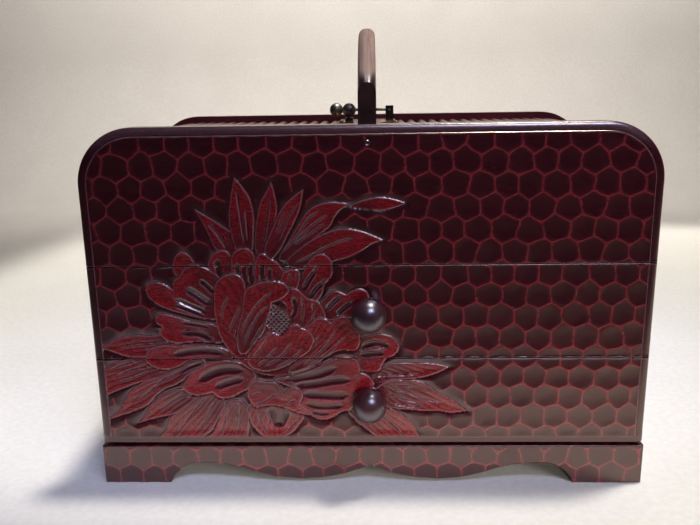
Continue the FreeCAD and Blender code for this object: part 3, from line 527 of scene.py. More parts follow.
def petal_face(points, within, upper, petal):
    """Depth, redness and painted highlight of one petal: quarter-round rim, dish, comb lines, and its cuts.

    Each cut adds its own depth, darkens the red in its bowl and paints a highlight on the lip on its lower
    side.
    """
    over = 1 - np.clip(within / RIM, 0, 1)
    depth = petal["level"] + RIM * (1 - np.sqrt(1 - over**2))
    depth = depth + DISH_DEEP * smooth_step((within - RIM) / DISH_WIDE)
    outward, comb = petal_growth(points, petal)
    comb = comb * smooth_step((within - COMB_START) / COMB_SOFT)
    depth = depth + COMB_DEEP * comb
    brightened = mix(ROOT_RED, 1, smooth_step(RED_START + RED_GAIN * outward))
    red = PETAL_RED * brightened * (1 - COMB_DARK * comb)
    # painted highlight along the rim, stronger on upper edges where light from above would catch
    pale = (RIM_PALE + UPPER_PALE * upper) * bell(within - RIM_LINE, RIM_SOFT)
    cuts = [(line, width * SCOOP_WIDEN, deep * SCOOP_EASE, SCOOP_DARK, SCOOP_SOFT)
            for width, deep, line in petal["scoops"]]
    cuts += [(line, VEIN_WIDE, VEIN_DEEP, VEIN_DARK, VEIN_SOFT) for line in petal["veins"]]
    for line, width, deep, darken, soft in cuts:
        bowl, taper, lip = groove(points, line, width)
        depth = depth + deep * taper * smooth_step(bowl)
        red = red * (1 - darken * smooth_step(bowl * soft))
        # painted highlight on the lip below each cut
        pale = np.maximum(pale * (1 - bowl), CUT_PALE * lip)
    return depth, red, pale


print(f"petal rims are rounded {RIM} mm, comb lines stand {COMB_PITCH} mm apart")

# %% The whole carved front
MARGIN_DEPTH, MARGIN_WIDE = 0.62, 3.6
REACH = 7.0
FAR_OUTSIDE = -99.0
CLEAR_GAIN = 1.3
UNDERCUT, UNDERCUT_WIDE, UNDERCUT_SHADE = 0.3, 0.6, 0.85
COVER_WIDE = 0.24
KNOB_RADIUS = 9.3
SEAT_RADIUS, SEAT_SOFT, SEAT_DEPTH = 8.4, 0.8, 0.02
KNOB_SEATS = [(0.0, box_mm(f"{drawer}_drawer_knob")[0][2] + KNOB_RADIUS) for drawer in ("upper", "lower")]


def carve(x, z):
    """Depth in millimetres, redness, painted highlight and share of bare ground over the carved front.

    Each petal is mixed over what lies below it by a steep step at its outline, after an undercut just
    outside that is darkened by painted shade. Round seats are left flat for the knobs.
    """
    points = np.stack([np.ravel(x), np.ravel(z)], -1)
    depth, red, pale = scooped_ground(points)
    motif = np.full(len(points), FAR_OUTSIDE)
    near = []
    for petal in MOTIF:
        line = closed_curve(petal["outline"])
        low, high = line.min(0) - REACH, line.max(0) + REACH
        chosen = np.flatnonzero(((points > low) & (points < high)).all(1))
        within, upper = inside_distance(points[chosen], line)
        motif[chosen] = np.maximum(motif[chosen], within)
        near.append((petal, chosen, within, upper))
    cleared = smooth_step((motif + MARGIN_WIDE) / MARGIN_WIDE)
    depth = mix(depth, MARGIN_DEPTH, cleared)
    red, pale = (field * (1 - smooth_step(cleared * CLEAR_GAIN)) for field in (red, pale))
    for petal, chosen, within, upper in near:
        shade = bell(np.minimum(within, 0), UNDERCUT_WIDE) * (within < 0)
        depth[chosen] += UNDERCUT * shade
        # painted shade in the undercut at each petal's foot
        red[chosen] *= 1 - UNDERCUT_SHADE * shade
        pale[chosen] *= 1 - shade
        cover = smooth_step(within / COVER_WIDE + 0.5)
        for field, face in zip((depth, red, pale), petal_face(points[chosen], within, upper, petal)):
            field[chosen] = mix(field[chosen], face, cover)
    for seat in KNOB_SEATS:
        pad = smooth_step((SEAT_RADIUS - np.hypot(*(points - seat).T)) / SEAT_SOFT)
        depth = mix(depth, SEAT_DEPTH, pad)
    return tuple(field.reshape(np.shape(x)) for field in (depth, red, pale, 1 - cleared))


print("knob seats at heights", [round(float(height), 1) for _, height in KNOB_SEATS])

# %% [markdown]
# ## The flower's heart
# In the middle of the flower the carver has cut two sets of fine grooves across each other, which
# leaves a field of small raised points, painted pale as highlights. Each point could be a mesh of its
# own, but in the height map two sine waves at right angles give all of them at once and stay inside
# the heart's outline.

# %% Stamens
STAMEN_PITCH = 1.9
STAMEN_DEPTH, RIDGE_HIGH, RIDGE_WIDE, RIDGE_PALE = 1.1, 0.5, 0.6, 0.7
HEART_DARK, HEART_SOFT = 0.95, 0.6


def cut_stamens(x, z, depth, red, pale):
    """A lowered dark field, crossed by ridges with a painted highlight where sin(x + z) or sin(x - z) is
    near 0.
    """
    points = np.stack([np.ravel(x), np.ravel(z)], -1)
    within = inside_distance(points, closed_curve(STAMENS))[0].reshape(np.shape(x))
    cover = smooth_step(within / HEART_SOFT + 0.5)
    turn = math.pi / (STAMEN_PITCH * math.sqrt(2))
    across = np.minimum(np.abs(np.sin((x + z) * turn)), np.abs(np.sin((x - z) * turn)))
    ridge = 1 - smooth_step(across / RIDGE_WIDE)
    depth = mix(depth, STAMEN_DEPTH - RIDGE_HIGH * ridge, cover)
    # pale on the ridges is a painted highlight
    return depth, red * (1 - HEART_DARK * cover), mix(pale, RIDGE_PALE * ridge, cover)


print(f"stamen ridges {STAMEN_PITCH} mm apart")

# %% [markdown]
# ## Boards with a carved face
# A board is a grid of columns and rows. Its front is pushed back by the carving, and the grid's
# edge is joined to a flat back. A Displace modifier could do the pushing, but here the columns can
# be crowded where an edge is round. The redness and a painted highlight, pale colour in place of the
# light caught by rims and crests, go into the mesh as attributes, so that the finish can follow the carving.

# %% Board grid
HALF_WIDTH = box_mm("front_panel")[1][0]
FRONT = box_mm("front_panel")[0][1]
EDGE_STEPS = np.array([0, 0.05, 0.17, 0.38, 0.68, 1.06, 1.52, 2.06, 2.66, 3.3, 3.9, 4.3, 4.5, 4.62, 4.74,
                       4.9, 5.15, 5.45, 5.8])
SEAM_STEPS = np.array([0, 0.06, 0.15, 0.28, 0.45])


def spread(low, high, spacing):
    """Even steps from low to high, as near to a spacing as divides the way evenly."""
    return np.linspace(low, high, int(round((high - low) / spacing)) + 1)


def board_columns(half, *spans):
    """Columns across the front, closest in the rounded ends; a span is where it ends and its spacing."""
    side = half - EDGE_STEPS
    start, parts = -side[-1], []
    for end, spacing in spans:
        parts.append(spread(start, end, spacing)[1:])
        start = end
    parts.append(spread(start, side[-1], spans[-1][1])[1:-1])
    return np.concatenate([-side, *parts, side[::-1]])


print(f"front at y = {FRONT:.1f} mm, {2 * HALF_WIDTH:.0f} mm wide")

# %% Board builder


def quads(a, b, c, d):
    """Faces from four arrays of corner numbers."""
    return np.stack([np.ravel(corner) for corner in (a, b, c, d)], -1)


def carved_board(name, x, z, face, red, pale, body, node):
    """Close a carved front grid with a flat back, and store redness and the painted highlight on its points.
    """
    columns, rows = x.shape
    back = box_mm(node)[1][1]
    front = np.stack([x, face, z], -1).reshape(-1, 3)
    ends = [np.stack([x[:, row], np.full(columns, back), z[:, row]], -1) for row in (0, -1)]
    grid = np.arange(columns * rows).reshape(columns, rows)
    low = columns * rows + np.arange(columns)
    high = low + columns
    faces = np.vstack([
        quads(grid[:-1, :-1], grid[1:, :-1], grid[1:, 1:], grid[:-1, 1:]),
        quads(grid[1:, 0], grid[:-1, 0], low[:-1], low[1:]),
        quads(grid[:-1, -1], grid[1:, -1], high[1:], high[:-1]),
        quads(low[1:], low[:-1], high[:-1], high[1:]),
    ]).tolist()
    faces.append([low[0], *grid[0, :].tolist(), high[0]])
    faces.append([high[-1], *grid[-1, ::-1].tolist(), low[-1]])
    piece = make_piece(name, np.vstack([front, *ends]), faces)
    unpainted = np.zeros(2 * columns)
    # the second attribute is a painted highlight: pale colour on rims, crests and lips in place of the light
    # they catch
    for label, field in (("redness", red), ("painted_highlight", pale)):
        values = np.concatenate([np.ravel(field), unpainted]).astype(np.float32)
        piece.data.attributes.new(label, "FLOAT", "POINT").data.foreach_set("value", values)
    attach(piece, body)
    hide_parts(node)
    print(f"{name}: {len(faces)} faces, cut up to {np.ptp(face):.2f} mm deep")
    return piece


# %% [markdown]
# ## The band and the seams
# A plain rounded band frames the carved field, which stands a little proud of it and so leaves a
# thin bright line under the band, strengthened by a painted highlight. Where two boards meet, the
# ground ends in a narrow level strip with a small rounded arris. A Bevel modifier would round every
# cut as well as these edges, so both are worked out from the distance to the outline or to the seam.

# %% Bands and edges
BAND, BAND_DEEP, BAND_STEP = 4.5, 2.0, 0.3
STEP_WIDE = 0.24
LIP, LIP_SOFT, LIP_LINE = 0.9, 0.5, 0.25
LIP_RED, BAND_RED, LIP_PALE = 0.3, 0.05, 0.5
ARRIS = 0.45
SEAM_LEVEL, SEAM_WIDE = 0.08, 0.9


def band_depth(distance):
    """Set-back of a quarter ellipse at a distance d from the outline: D (1 - sqrt(1 - (1 - d / W)^2))."""
    inward = np.clip(1 - distance / BAND, 0, 1)
    return BAND_DEEP * (1 - np.sqrt(1 - inward**2))


def small_arris(distance, radius=ARRIS):
    """Set-back of a quarter circle at a distance d from an edge: r - sqrt(r^2 - (r - d)^2)."""
    inward = np.clip(radius - distance, 0, radius)
    return radius - np.sqrt(radius**2 - inward**2)


def frame_field(depth, red, pale, edge):
    """Lay the plain rounded band round a carved field that stands a little proud of it, with a painted
    highlight along the lip.
    """
    field = smooth_step((edge - BAND) / STEP_WIDE)
    lip = smooth_step((BAND + LIP - edge) / LIP_SOFT)
    depth = mix(BAND_STEP + band_depth(edge), depth * (1 - lip), field)
    red = mix(BAND_RED, mix(red, LIP_RED, lip), field)
    # painted highlight: a pale line just inside the band
    return depth, red, np.maximum(pale * (1 - lip), LIP_PALE * bell(edge - BAND - LIP_LINE, LIP_LINE))


def straight_edge(depth, away, ground):
    """Bring the bare ground up to one level in the last millimetre before a seam, and round the edge."""
    near = smooth_step((SEAM_WIDE - away) / (SEAM_WIDE / 2)) * ground
    return mix(depth, SEAM_LEVEL, near) + small_arris(away)


print(f"band {BAND} mm wide, edges rounded {ARRIS} mm")

# %% [markdown]
# ## The arched top board
# The board over the drawers carries the leaves and ends in two round corners, and its top band is
# painted pale as a highlight from the light above. A flat grid could be cut off at the corners by a
# boolean, but that leaves ragged steps along the curve, so the rows of this grid follow the outline.

# %% Top board
PANEL_LOW, PANEL_TOP = box_mm("front_panel")[0][2], box_mm("front_panel")[1][2]
CORNER = 30.0
TOP_SPANS = ((-106, 0.7), (24, 0.42), (140, 0.75))  # closest behind the leaves
TOP_ROWS = 146
# where the painted highlight on the top band starts, fades in, how pale it is and how far it reaches
TOP_SHEEN_LOW, TOP_SHEEN_FADE, TOP_SHEEN_PALE = 184, 10, 0.17
TOP_SHEEN_EDGE, TOP_SHEEN_SOFT = BAND - 0.2, 0.5


def panel_top(x):
    """Height of the outline over x: flat, then a quarter circle at each end."""
    past = np.clip(np.abs(x) - (HALF_WIDTH - CORNER), 0, CORNER)
    return PANEL_TOP - CORNER + np.sqrt(CORNER**2 - past**2)


def panel_edge_distance(x, z):
    """Distance from the sides, the top or the corner arcs of the outline."""
    across, up = HALF_WIDTH - np.abs(x), PANEL_TOP - z
    corner = CORNER - np.hypot(np.clip(CORNER - across, 0, None), np.clip(CORNER - up, 0, None))
    return np.where((across < CORNER) & (up < CORNER), corner, np.minimum(across, up))


def top_board():
    """The arched board: a carved field, the rounded band along its edge, and a painted highlight along its
    top.

    Rows keep their distance from the seam and from the arched top, and share the way between evenly.
    """
    columns = board_columns(HALF_WIDTH, *TOP_SPANS)
    top = panel_top(columns)[:, None]
    low_rows = np.repeat(PANEL_LOW + SEAM_STEPS[None], len(columns), 0)
    high_rows = top - EDGE_STEPS[None, ::-1]
    share = spread(0, 1, 1 / TOP_ROWS)[1:-1]
    z = np.hstack([low_rows, mix(low_rows[:, -1:], high_rows[:, :1], share), high_rows])
    x = np.repeat(columns[:, None], z.shape[1], 1)
    edge = panel_edge_distance(x, z)
    *fields, ground = carve(x, z)
    depth, red, pale = frame_field(*fields, edge)
    # painted highlight on the top band, where light from above would fall
    on_band = smooth_step((TOP_SHEEN_EDGE - edge) / TOP_SHEEN_SOFT)
    brightened = on_band * smooth_step((z - TOP_SHEEN_LOW) / TOP_SHEEN_FADE)
    pale = np.maximum(pale, TOP_SHEEN_PALE * brightened)
    band = band_depth(edge)
    depth = straight_edge(depth - band, z - PANEL_LOW, ground) + band
    return carved_board("carved_top_board", x, z, FRONT + depth, red, pale, "case", "front_panel")


boards = [top_board()]

# %% [markdown]
# ## The drawer fronts
# The flower itself spans both drawers. Cutting one carved sheet at the seams would leave open,
# ragged edges, so each front is a board of its own that asks the same fields for its depth. Shut,
# the flower runs on across the seams. Drawn out, each front has its own rounded edges. The lower
# front ends in a plain strip along its foot.

# %% Drawer boards
DRAWER_SPANS = ((56, 0.43), (140, 0.8))  # closest behind the flower
PLAIN_FOOT = 3.2
FOOT_RISE, FOOT_FADE, FOOT_LINE = 5.0, 0.5, 0.3
FOOT_LEVEL, FOOT_RED, FOOT_PALE = 0.1, 0.1, 0.3


def plain_foot(above, depth, red, pale):
    """Let the carving rise to a plain strip along the foot, with a thin painted highlight line where it
    starts.
    """
    foot = smooth_step(1 - above / FOOT_FADE)
    depth = mix(depth, FOOT_LEVEL, smooth_step(1 - above / FOOT_RISE))
    # the pale line at the strip's start is a painted highlight
    return depth, mix(red, FOOT_RED, foot), np.maximum(pale * (1 - foot), FOOT_PALE * bell(above, FOOT_LINE))


def drawer_board(name, body, foot=0.0):
    """A drawer's front: the carved field between two seams, with the band at its sides."""
    node = f"{body}_front"
    low, high = box_mm(node)[0][2], box_mm(node)[1][2]
    columns = board_columns(HALF_WIDTH, *DRAWER_SPANS)
    middle = spread(low + SEAM_STEPS[-1], high - SEAM_STEPS[-1], DRAWER_SPANS[0][1])[1:-1]
    rows = np.concatenate([low + SEAM_STEPS, middle, high - SEAM_STEPS[::-1]])
    x, z = np.meshgrid(columns, rows, indexing="ij")
    edge = HALF_WIDTH - np.abs(x)
    *fields, ground = carve(x, z)
    depth, red, pale = frame_field(*cut_stamens(x, z, *fields), edge)
    band = band_depth(edge)
    depth = depth - band
    if foot:
        depth, red, pale = plain_foot(z - low - foot, depth, red, pale)
    depth = straight_edge(straight_edge(depth, z - low, ground), high - z, ground) + band
    return carved_board(name, x, z, FRONT + depth, red, pale, body, node)


boards.append(drawer_board("carved_upper_drawer", "upper_drawer"))
boards.append(drawer_board("carved_lower_drawer", "lower_drawer", PLAIN_FOOT))

# %% [markdown]
# ## The scalloped plinth
# The box stands on a low board with two feet, whose lower edge swings through arches and lobes of
# circles. A curve object could be extruded to this outline, but its face would have no grid to
# carve, so the rows of the grid are squeezed between the scallop and the straight top. Only the
# scooped ground runs over it.

# %% Plinth board
PLINTH_HALF, _, PLINTH_TOP = box_mm("plinth_front")[1]
PLINTH_FRONT = box_mm("plinth_front")[0][1]
FOOT_END, ARCH_X, JOIN_X, LOBE_X = 113, 95, 66.5, 38
ARCH_HIGH, LOBE_LOW = 12.5, 2.5
FOOT_ARC, LONG_ARC, PEAK_ARC = 19.21, 83.725, 89.191
PLINTH_SPANS = ((140, 0.6),)
FOOT_STEPS, TOP_STEPS = [0, 0.003, 0.008, 0.016], [0.984, 0.992, 0.997, 1]
PLINTH_ROWS = np.concatenate([FOOT_STEPS, spread(0.03, 0.97, 1 / 38), TOP_STEPS])
PLINTH_EDGE, PLINTH_FADE, PLINTH_LEVEL, PLINTH_DARK = 1.6, 0.5, 0.15, 0.6
SIDE_ARRIS = 0.6


def arc_height(x, centre, level, radius, way):
    """Height of a circle over x: level + way (sqrt(r^2 - (x - centre)^2) - r).

    The way is 1 for an arch and -1 for a lobe.
    """
    return level + way * (np.sqrt(np.clip(radius**2 - (x - centre) ** 2, 0, None)) - radius)


def plinth_foot(x):
    """Lower edge: flat feet, an arch by each foot, then a hanging lobe rising to a peak in the middle."""
    out = np.abs(x)
    foot_arch, arch = (arc_height(out, ARCH_X, ARCH_HIGH, radius, 1) for radius in (FOOT_ARC, LONG_ARC))
    lobe, inner = (arc_height(out, LOBE_X, LOBE_LOW, radius, -1) for radius in (LONG_ARC, PEAK_ARC))
    beyond = [out > start for start in (FOOT_END, ARCH_X, JOIN_X, LOBE_X)]
    return np.select(beyond, [0 * out, foot_arch, arch, lobe], inner)


def plinth_board():
    """The scalloped board: bare scooped ground, plain along its top and sides, with every edge rounded."""
    columns = board_columns(PLINTH_HALF, *PLINTH_SPANS)
    foot = np.clip(plinth_foot(columns), 0, None)[:, None]
    z = mix(foot, PLINTH_TOP, PLINTH_ROWS[None])
    x = np.repeat(columns[:, None], z.shape[1], 1)
    ground = scooped_ground(np.stack([x.ravel(), z.ravel()], -1))
    depth, red, pale = (field.reshape(x.shape) for field in ground)
    side, top = PLINTH_HALF - np.abs(x), PLINTH_TOP - z
    plain = smooth_step((PLINTH_EDGE - np.minimum(side, top)) / PLINTH_FADE)
    depth = mix(depth, PLINTH_LEVEL, plain)
    depth = depth + small_arris(top) + small_arris(z - foot) + small_arris(side, SIDE_ARRIS)
    red = red * (1 - PLINTH_DARK * plain)
    return carved_board("carved_plinth", x, z, PLINTH_FRONT + depth, red, pale, "case", "plinth_front")


boards.append(plinth_board())

# %% [markdown]
# ## Handle pins
# A round-headed pin locks each leg of the handle, and only its head shows. A pin is turned work: a
# profile of radius and height is carried round its axis, with a raised rim round a deep dimple. A
# Screw modifier would turn it as well, but worked out as arrays it is closed at both ends at once.

# %% Turned pins
PIN_PROFILE = np.array([(0.0, 0.05), (0.45, 0.1), (0.7, 0.4), (0.9, 0.9), (1.15, 1.0), (1.35, 0.9),
                        (1.5, 0.6), (1.5, 0.0), (1.0, -0.05), (1.0, -9.0), (0.0, -9.0)])
PIN_TURNS = 48


def turned_pin(name, wall, outward):
    """A surface of revolution about a line along Y: x = r cos a, z = r sin a, y = wall + height."""
    low, high = box_mm("handle_pins")
    level = (low[2] + high[2]) / 2
    angle = np.linspace(0, 2 * math.pi, PIN_TURNS, endpoint=False)[:, None]
    radius, height = PIN_PROFILE[1:-1].T
    x, z = radius * np.cos(angle), level + radius * np.sin(angle)
    y = np.repeat(wall + outward * height[None], PIN_TURNS, 0)
    poles = [(0, wall + outward * PIN_PROFILE[end, 1], level) for end in (0, -1)]
    points = np.vstack([np.stack([x, y, z], -1).reshape(-1, 3), poles])
    grid = np.arange(PIN_TURNS * len(radius)).reshape(PIN_TURNS, -1)
    after = np.roll(grid, -1, 0)
    walls = quads(grid[:, :-1], grid[:, 1:], after[:, 1:], after[:, :-1])
    tip = np.full(PIN_TURNS, grid.size)
    caps = [np.stack([tip, grid[:, 0], after[:, 0]], -1), np.stack([tip + 1, after[:, -1], grid[:, -1]], -1)]
    faces = walls.tolist() + np.vstack(caps).tolist()
    piece = make_piece(name, points, [face[::-1] for face in faces] if outward > 0 else faces)
    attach(piece, "case")
    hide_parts("handle_pins")
    return piece


pins = [turned_pin("front_pin", FRONT, -1), turned_pin("back_pin", box_mm("back_panel")[1][1], 1)]
print(f"{len(pins)} pins, heads {2 * PIN_PROFILE[:, 0].max():.1f} mm across")

# %% [markdown]
# ## Finishes
# Every finish on the box is uneven: lacquer pools and wears, wood has grain, and metal tarnishes.
# Painted images could show that, but each piece would need unwrapping. Noise needs none, so one
# shader group mottles a colour and its gloss, and another draws wood grain along a chosen
# direction. Both read Object coordinates, because every piece sits unturned at the origin.

# %% Node helpers


def add_node(tree, kind, **values):
    """A shader node with its settings, or its inputs by name, filled in."""
    made = tree.nodes.new(kind)
    for key, value in values.items():
        if hasattr(made, key):
            setattr(made, key, value)
        else:
            made.inputs[key.replace("_", " ")].default_value = value
    return made


def feed(tree, socket, value):
    """Link a socket to another node's output, or set it to a plain number or colour."""
    if isinstance(value, bpy.types.NodeSocket):
        tree.links.new(value, socket)
    else:
        socket.default_value = (*value, 1) if isinstance(value, tuple) else value


def math_value(tree, operation, *terms):
    """The result of a Math node over outputs or plain numbers."""
    made = add_node(tree, "ShaderNodeMath", operation=operation)
    for socket, term in zip(made.inputs, terms):
        feed(tree, socket, term)
    return made.outputs["Value"]


def new_group(name, inputs, outputs):
    """A shader node group with typed inputs and number outputs; the answer is the tree and its end nodes."""
    tree = bpy.data.node_groups.new(name, "ShaderNodeTree")
    for label, kind, value in inputs:
        socket = tree.interface.new_socket(label, in_out="INPUT", socket_type=kind)
        socket.default_value = value
    for label in outputs:
        tree.interface.new_socket(label, in_out="OUTPUT", socket_type="NodeSocketFloat")
    return tree, tree.nodes.new("NodeGroupInput"), tree.nodes.new("NodeGroupOutput")


print("node names as in Blender", bpy.app.version_string)

# %% Shared shader groups


def mottle_group():
    """Slow cloudiness and fine specks, as noise masks from 0 to 1, and their sum as a height for bump."""
    tree, given, out = new_group(
        "Lacquer mottle",
        [("Cloud Scale", "NodeSocketFloat", 60.0), ("Speck Scale", "NodeSocketFloat", 900.0)],
        ["Cloud", "Speck", "Height"])
    place = add_node(tree, "ShaderNodeTexCoord")
    masks = []
    for label, detail, rough in (("Cloud", 4.0, 0.55), ("Speck", 2.0, 0.6)):
        noise = add_node(tree, "ShaderNodeTexNoise", Detail=detail, Roughness=rough)
        feed(tree, noise.inputs["Vector"], place.outputs["Object"])
        feed(tree, noise.inputs["Scale"], given.outputs[f"{label} Scale"])
        feed(tree, out.inputs[label], noise.outputs["Fac"])
        masks.append(noise.outputs["Fac"])
    feed(tree, out.inputs["Height"], math_value(tree, "ADD", *masks))
    return tree


def grain_group():
    """Wood grain: noise squeezed across the fibres, in a broad figure and fine pores."""
    tree, given, out = new_group(
        "Wood grain",
        [("Squeeze", "NodeSocketVector", (1.0, 1.0, 1.0)), ("Figure Scale", "NodeSocketFloat", 30.0),
         ("Pore Scale", "NodeSocketFloat", 300.0)],
        ["Figure", "Pores"])
    place = add_node(tree, "ShaderNodeTexCoord")
    squeeze = add_node(tree, "ShaderNodeVectorMath", operation="MULTIPLY")
    feed(tree, squeeze.inputs[0], place.outputs["Object"])
    feed(tree, squeeze.inputs[1], given.outputs["Squeeze"])
    kinds = (("Figure Scale", "Figure", 3.0, 0.6), ("Pore Scale", "Pores", 2.0, 0.1))
    for scale, result, detail, twist in kinds:
        noise = add_node(tree, "ShaderNodeTexNoise", Detail=detail, Roughness=0.6, Distortion=twist)
        feed(tree, noise.inputs["Vector"], squeeze.outputs["Vector"])
        feed(tree, noise.inputs["Scale"], given.outputs[scale])
        feed(tree, out.inputs[result], noise.outputs["Fac"])
    return tree


MOTTLE = mottle_group()
GRAIN = grain_group()
print("groups:", MOTTLE.name, "and", GRAIN.name)

# %% Material helpers


def new_material(name, **sockets):
    """A material with a Principled BSDF, its plain sockets set; the answer is material, tree, shader."""
    material = bpy.data.materials.new(name)
    material.use_nodes = True
    tree = material.node_tree
    shader = tree.nodes["Principled BSDF"]
    for label, value in sockets.items():
        shader.inputs[label.replace("_", " ")].default_value = value
    return material, tree, shader


def use_group(tree, group, **values):
    """One of the shared groups placed in a material, with its own values."""
    made = tree.nodes.new("ShaderNodeGroup")
    made.node_tree = group
    for label, value in values.items():
        made.inputs[label.replace("_", " ")].default_value = value
    return made.outputs


def ramp(tree, source, *stops):
    """A colour ramp through (place, colour) stops, fed by a value; a plain number is a grey."""
    made = tree.nodes.new("ShaderNodeValToRGB")
    line = made.color_ramp.elements
    while len(line) < len(stops):
        line.new(0.5)
    for element, (spot, colour) in zip(line, stops):
        element.position = spot
        element.color = (*colour, 1) if isinstance(colour, tuple) else (colour, colour, colour, 1)
    tree.links.new(source, made.inputs["Fac"])
    return made.outputs["Color"]


def spread_value(tree, source, low, high):
    """Map a 0 to 1 value onto a range."""
    made = add_node(tree, "ShaderNodeMapRange", To_Min=low, To_Max=high)
    tree.links.new(source, made.inputs["Value"])
    return made.outputs["Result"]


def blend_colour(tree, kind, share, first, second):
    """Mix two colours, each given as a socket or a plain colour."""
    made = add_node(tree, "ShaderNodeMix", data_type="RGBA", blend_type=kind)
    for socket, value in ((made.inputs["Factor"], share), (made.inputs[6], first), (made.inputs[7], second)):
        feed(tree, socket, value)
    return made.outputs[2]


def dress(tree, shader, colour, rough, height, strength, distance):
    """Feed a shader its colour, its roughness and a bump."""
    bump = add_node(tree, "ShaderNodeBump", Strength=strength, Distance=distance)
    feed(tree, bump.inputs["Height"], height)
    for label, value in (("Base Color", colour), ("Roughness", rough), ("Normal", bump.outputs["Normal"])):
        feed(tree, shader.inputs[label], value)


asked = {spot.material.name.split(".")[0] for solid in nodes.values() for spot in solid.material_slots}
print("finishes asked for:", ", ".join(sorted(asked)))

# %% [markdown]
# ## Carved lacquer
# On the carved boards the lacquer is a dark brown-black that pools in the cuts, with red rubbed
# through on crests and petals and pale rims that are a painted highlight. A shader could guess the
# crests from curvature, but the mesh already carries redness and the painted highlight, so two
# attributes choose the colour, and noise and grain break it up. A high index of refraction makes its
# mirrored light strong, and a tint keeps that light warm.

# %% Carved lacquer
DARK = (0.028, 0.0021, 0.0054)
WINE = (0.085, 0.0040, 0.0085)
RED = (0.185, 0.0055, 0.0100)
BRIGHT = (0.24, 0.0080, 0.0130)
# pale lilac of a painted highlight, standing in for light caught by rims, crests and lips
PAINTED_HIGHLIGHT = (0.30, 0.185, 0.225)


def carved_lacquer():
    """Redness, shaken by clouds, chooses from dark to bright red; specks and pores break the colour up.

    The painted highlight, broken up by the same specks, paints the rims pale as if they caught light.
    """
    material, tree, shader = new_material("carved_lacquer", IOR=2.1, Specular_Tint=(1.0, 0.85, 0.75, 1.0))
    mottle = use_group(tree, MOTTLE, Cloud_Scale=70.0, Speck_Scale=1400.0)
    grain = use_group(tree, GRAIN, Squeeze=(0.16, 1.0, 1.0), Figure_Scale=110.0, Pore_Scale=1700.0)
    red, pale = (add_node(tree, "ShaderNodeAttribute", attribute_name=label).outputs["Fac"]
                 for label in ("redness", "painted_highlight"))
    cloudy = math_value(tree, "MULTIPLY_ADD", mottle["Cloud"], 0.3, -0.15)
    shaken = math_value(tree, "ADD", red, cloudy)
    colour = ramp(tree, shaken, (0.08, DARK), (0.42, WINE), (0.75, RED), (1.0, BRIGHT))
    specks = ramp(tree, mottle["Speck"], (0.32, 0.62), (0.68, 1.25))
    colour = blend_colour(tree, "MULTIPLY", 1.0, colour, specks)
    pores = ramp(tree, grain["Pores"], (0.36, 0.5), (0.58, 1.3))
    colour = blend_colour(tree, "MULTIPLY", 0.8, colour, pores)
    # painted highlight: the pale lilac is mixed in where the mesh marks rims, crests and lips
    painted_sheen = math_value(tree, "MULTIPLY", pale, spread_value(tree, mottle["Speck"], 0.25, 0.95))
    colour = blend_colour(tree, "MIX", painted_sheen, colour, PAINTED_HIGHLIGHT)
    rough = spread_value(tree, mottle["Cloud"], 0.16, 0.3)
    dress(tree, shader, colour, rough, mottle["Height"], 0.12, 0.0004)
    return material


FINISHES = {"carved_lacquer": carved_lacquer()}
print(f"{len(FINISHES['carved_lacquer'].node_tree.nodes)} nodes in the carved lacquer")

# %% [markdown]
# ## Plain lacquer
# Boards without carving and the turned knobs have the same lacquer on smooth wood. A single colour
# would look like plastic, so clouds and a faint grain shift it between two browns, and the knobs,
# which are handled most, get a stronger mirror.

# %% Plain lacquer


def plain_lacquer(name, deep, bright, rough, gloss):
    """Lacquer over faint grain, for boards and turned parts without carving."""
    material, tree, shader = new_material(name, IOR=gloss)
    mottle = use_group(tree, MOTTLE, Cloud_Scale=45.0, Speck_Scale=1100.0)
    grain = use_group(tree, GRAIN, Squeeze=(0.12, 1.0, 1.0), Figure_Scale=60.0, Pore_Scale=500.0)
    both = math_value(tree, "MULTIPLY", mottle["Cloud"], grain["Figure"])
    colour = ramp(tree, both, (0.12, deep), (0.42, bright))
    dress(tree, shader, colour, spread_value(tree, mottle["Cloud"], *rough), mottle["Height"], 0.1, 0.0003)
    return material


FINISHES["plain_lacquer"] = plain_lacquer(
    "plain_lacquer", deep=(0.03, 0.004, 0.007), bright=(0.085, 0.0085, 0.013), rough=(0.22, 0.38), gloss=1.7)
FINISHES["knob_lacquer"] = plain_lacquer(
    "knob_lacquer", deep=(0.022, 0.008, 0.013), bright=(0.05, 0.013, 0.019), rough=(0.25, 0.38), gloss=2.2)
print("lacquers:", ", ".join(FINISHES))

# %% [markdown]
# ## Woods
# The slats, the handle and the insides of the drawers are wood under little or no lacquer. One
# function makes them all, each with its own direction of grain. The handle's grip is painted pale
# as a stand-in for the sheen it catches from above: a second object could carry that colour, but a
# mask by height keeps the handle in one piece.

# %% Woods
# heights in metres over which the painted sheen on the grip fades in
GRIP_FADE = (0.2195, 0.226)


def wood(name, squeeze, deep, bright, rough, scale, gloss):
    """Stained wood under a thin satin finish, with figure and pores along the fibres."""
    material, tree, shader = new_material(name, IOR=gloss)
    grain = use_group(tree, GRAIN, Squeeze=squeeze, Figure_Scale=scale, Pore_Scale=scale * 9)
    colour = ramp(tree, grain["Figure"], (0.3, deep), (0.7, bright))
    pores = ramp(tree, grain["Pores"], (0.38, (0.45, 0.42, 0.42)), (0.55, 1.0))
    colour = blend_colour(tree, "MULTIPLY", 0.7, colour, pores)
    satin = spread_value(tree, grain["Figure"], rough - 0.08, rough + 0.1)
    dress(tree, shader, colour, satin, grain["Pores"], 0.2, 0.0003)
    return material


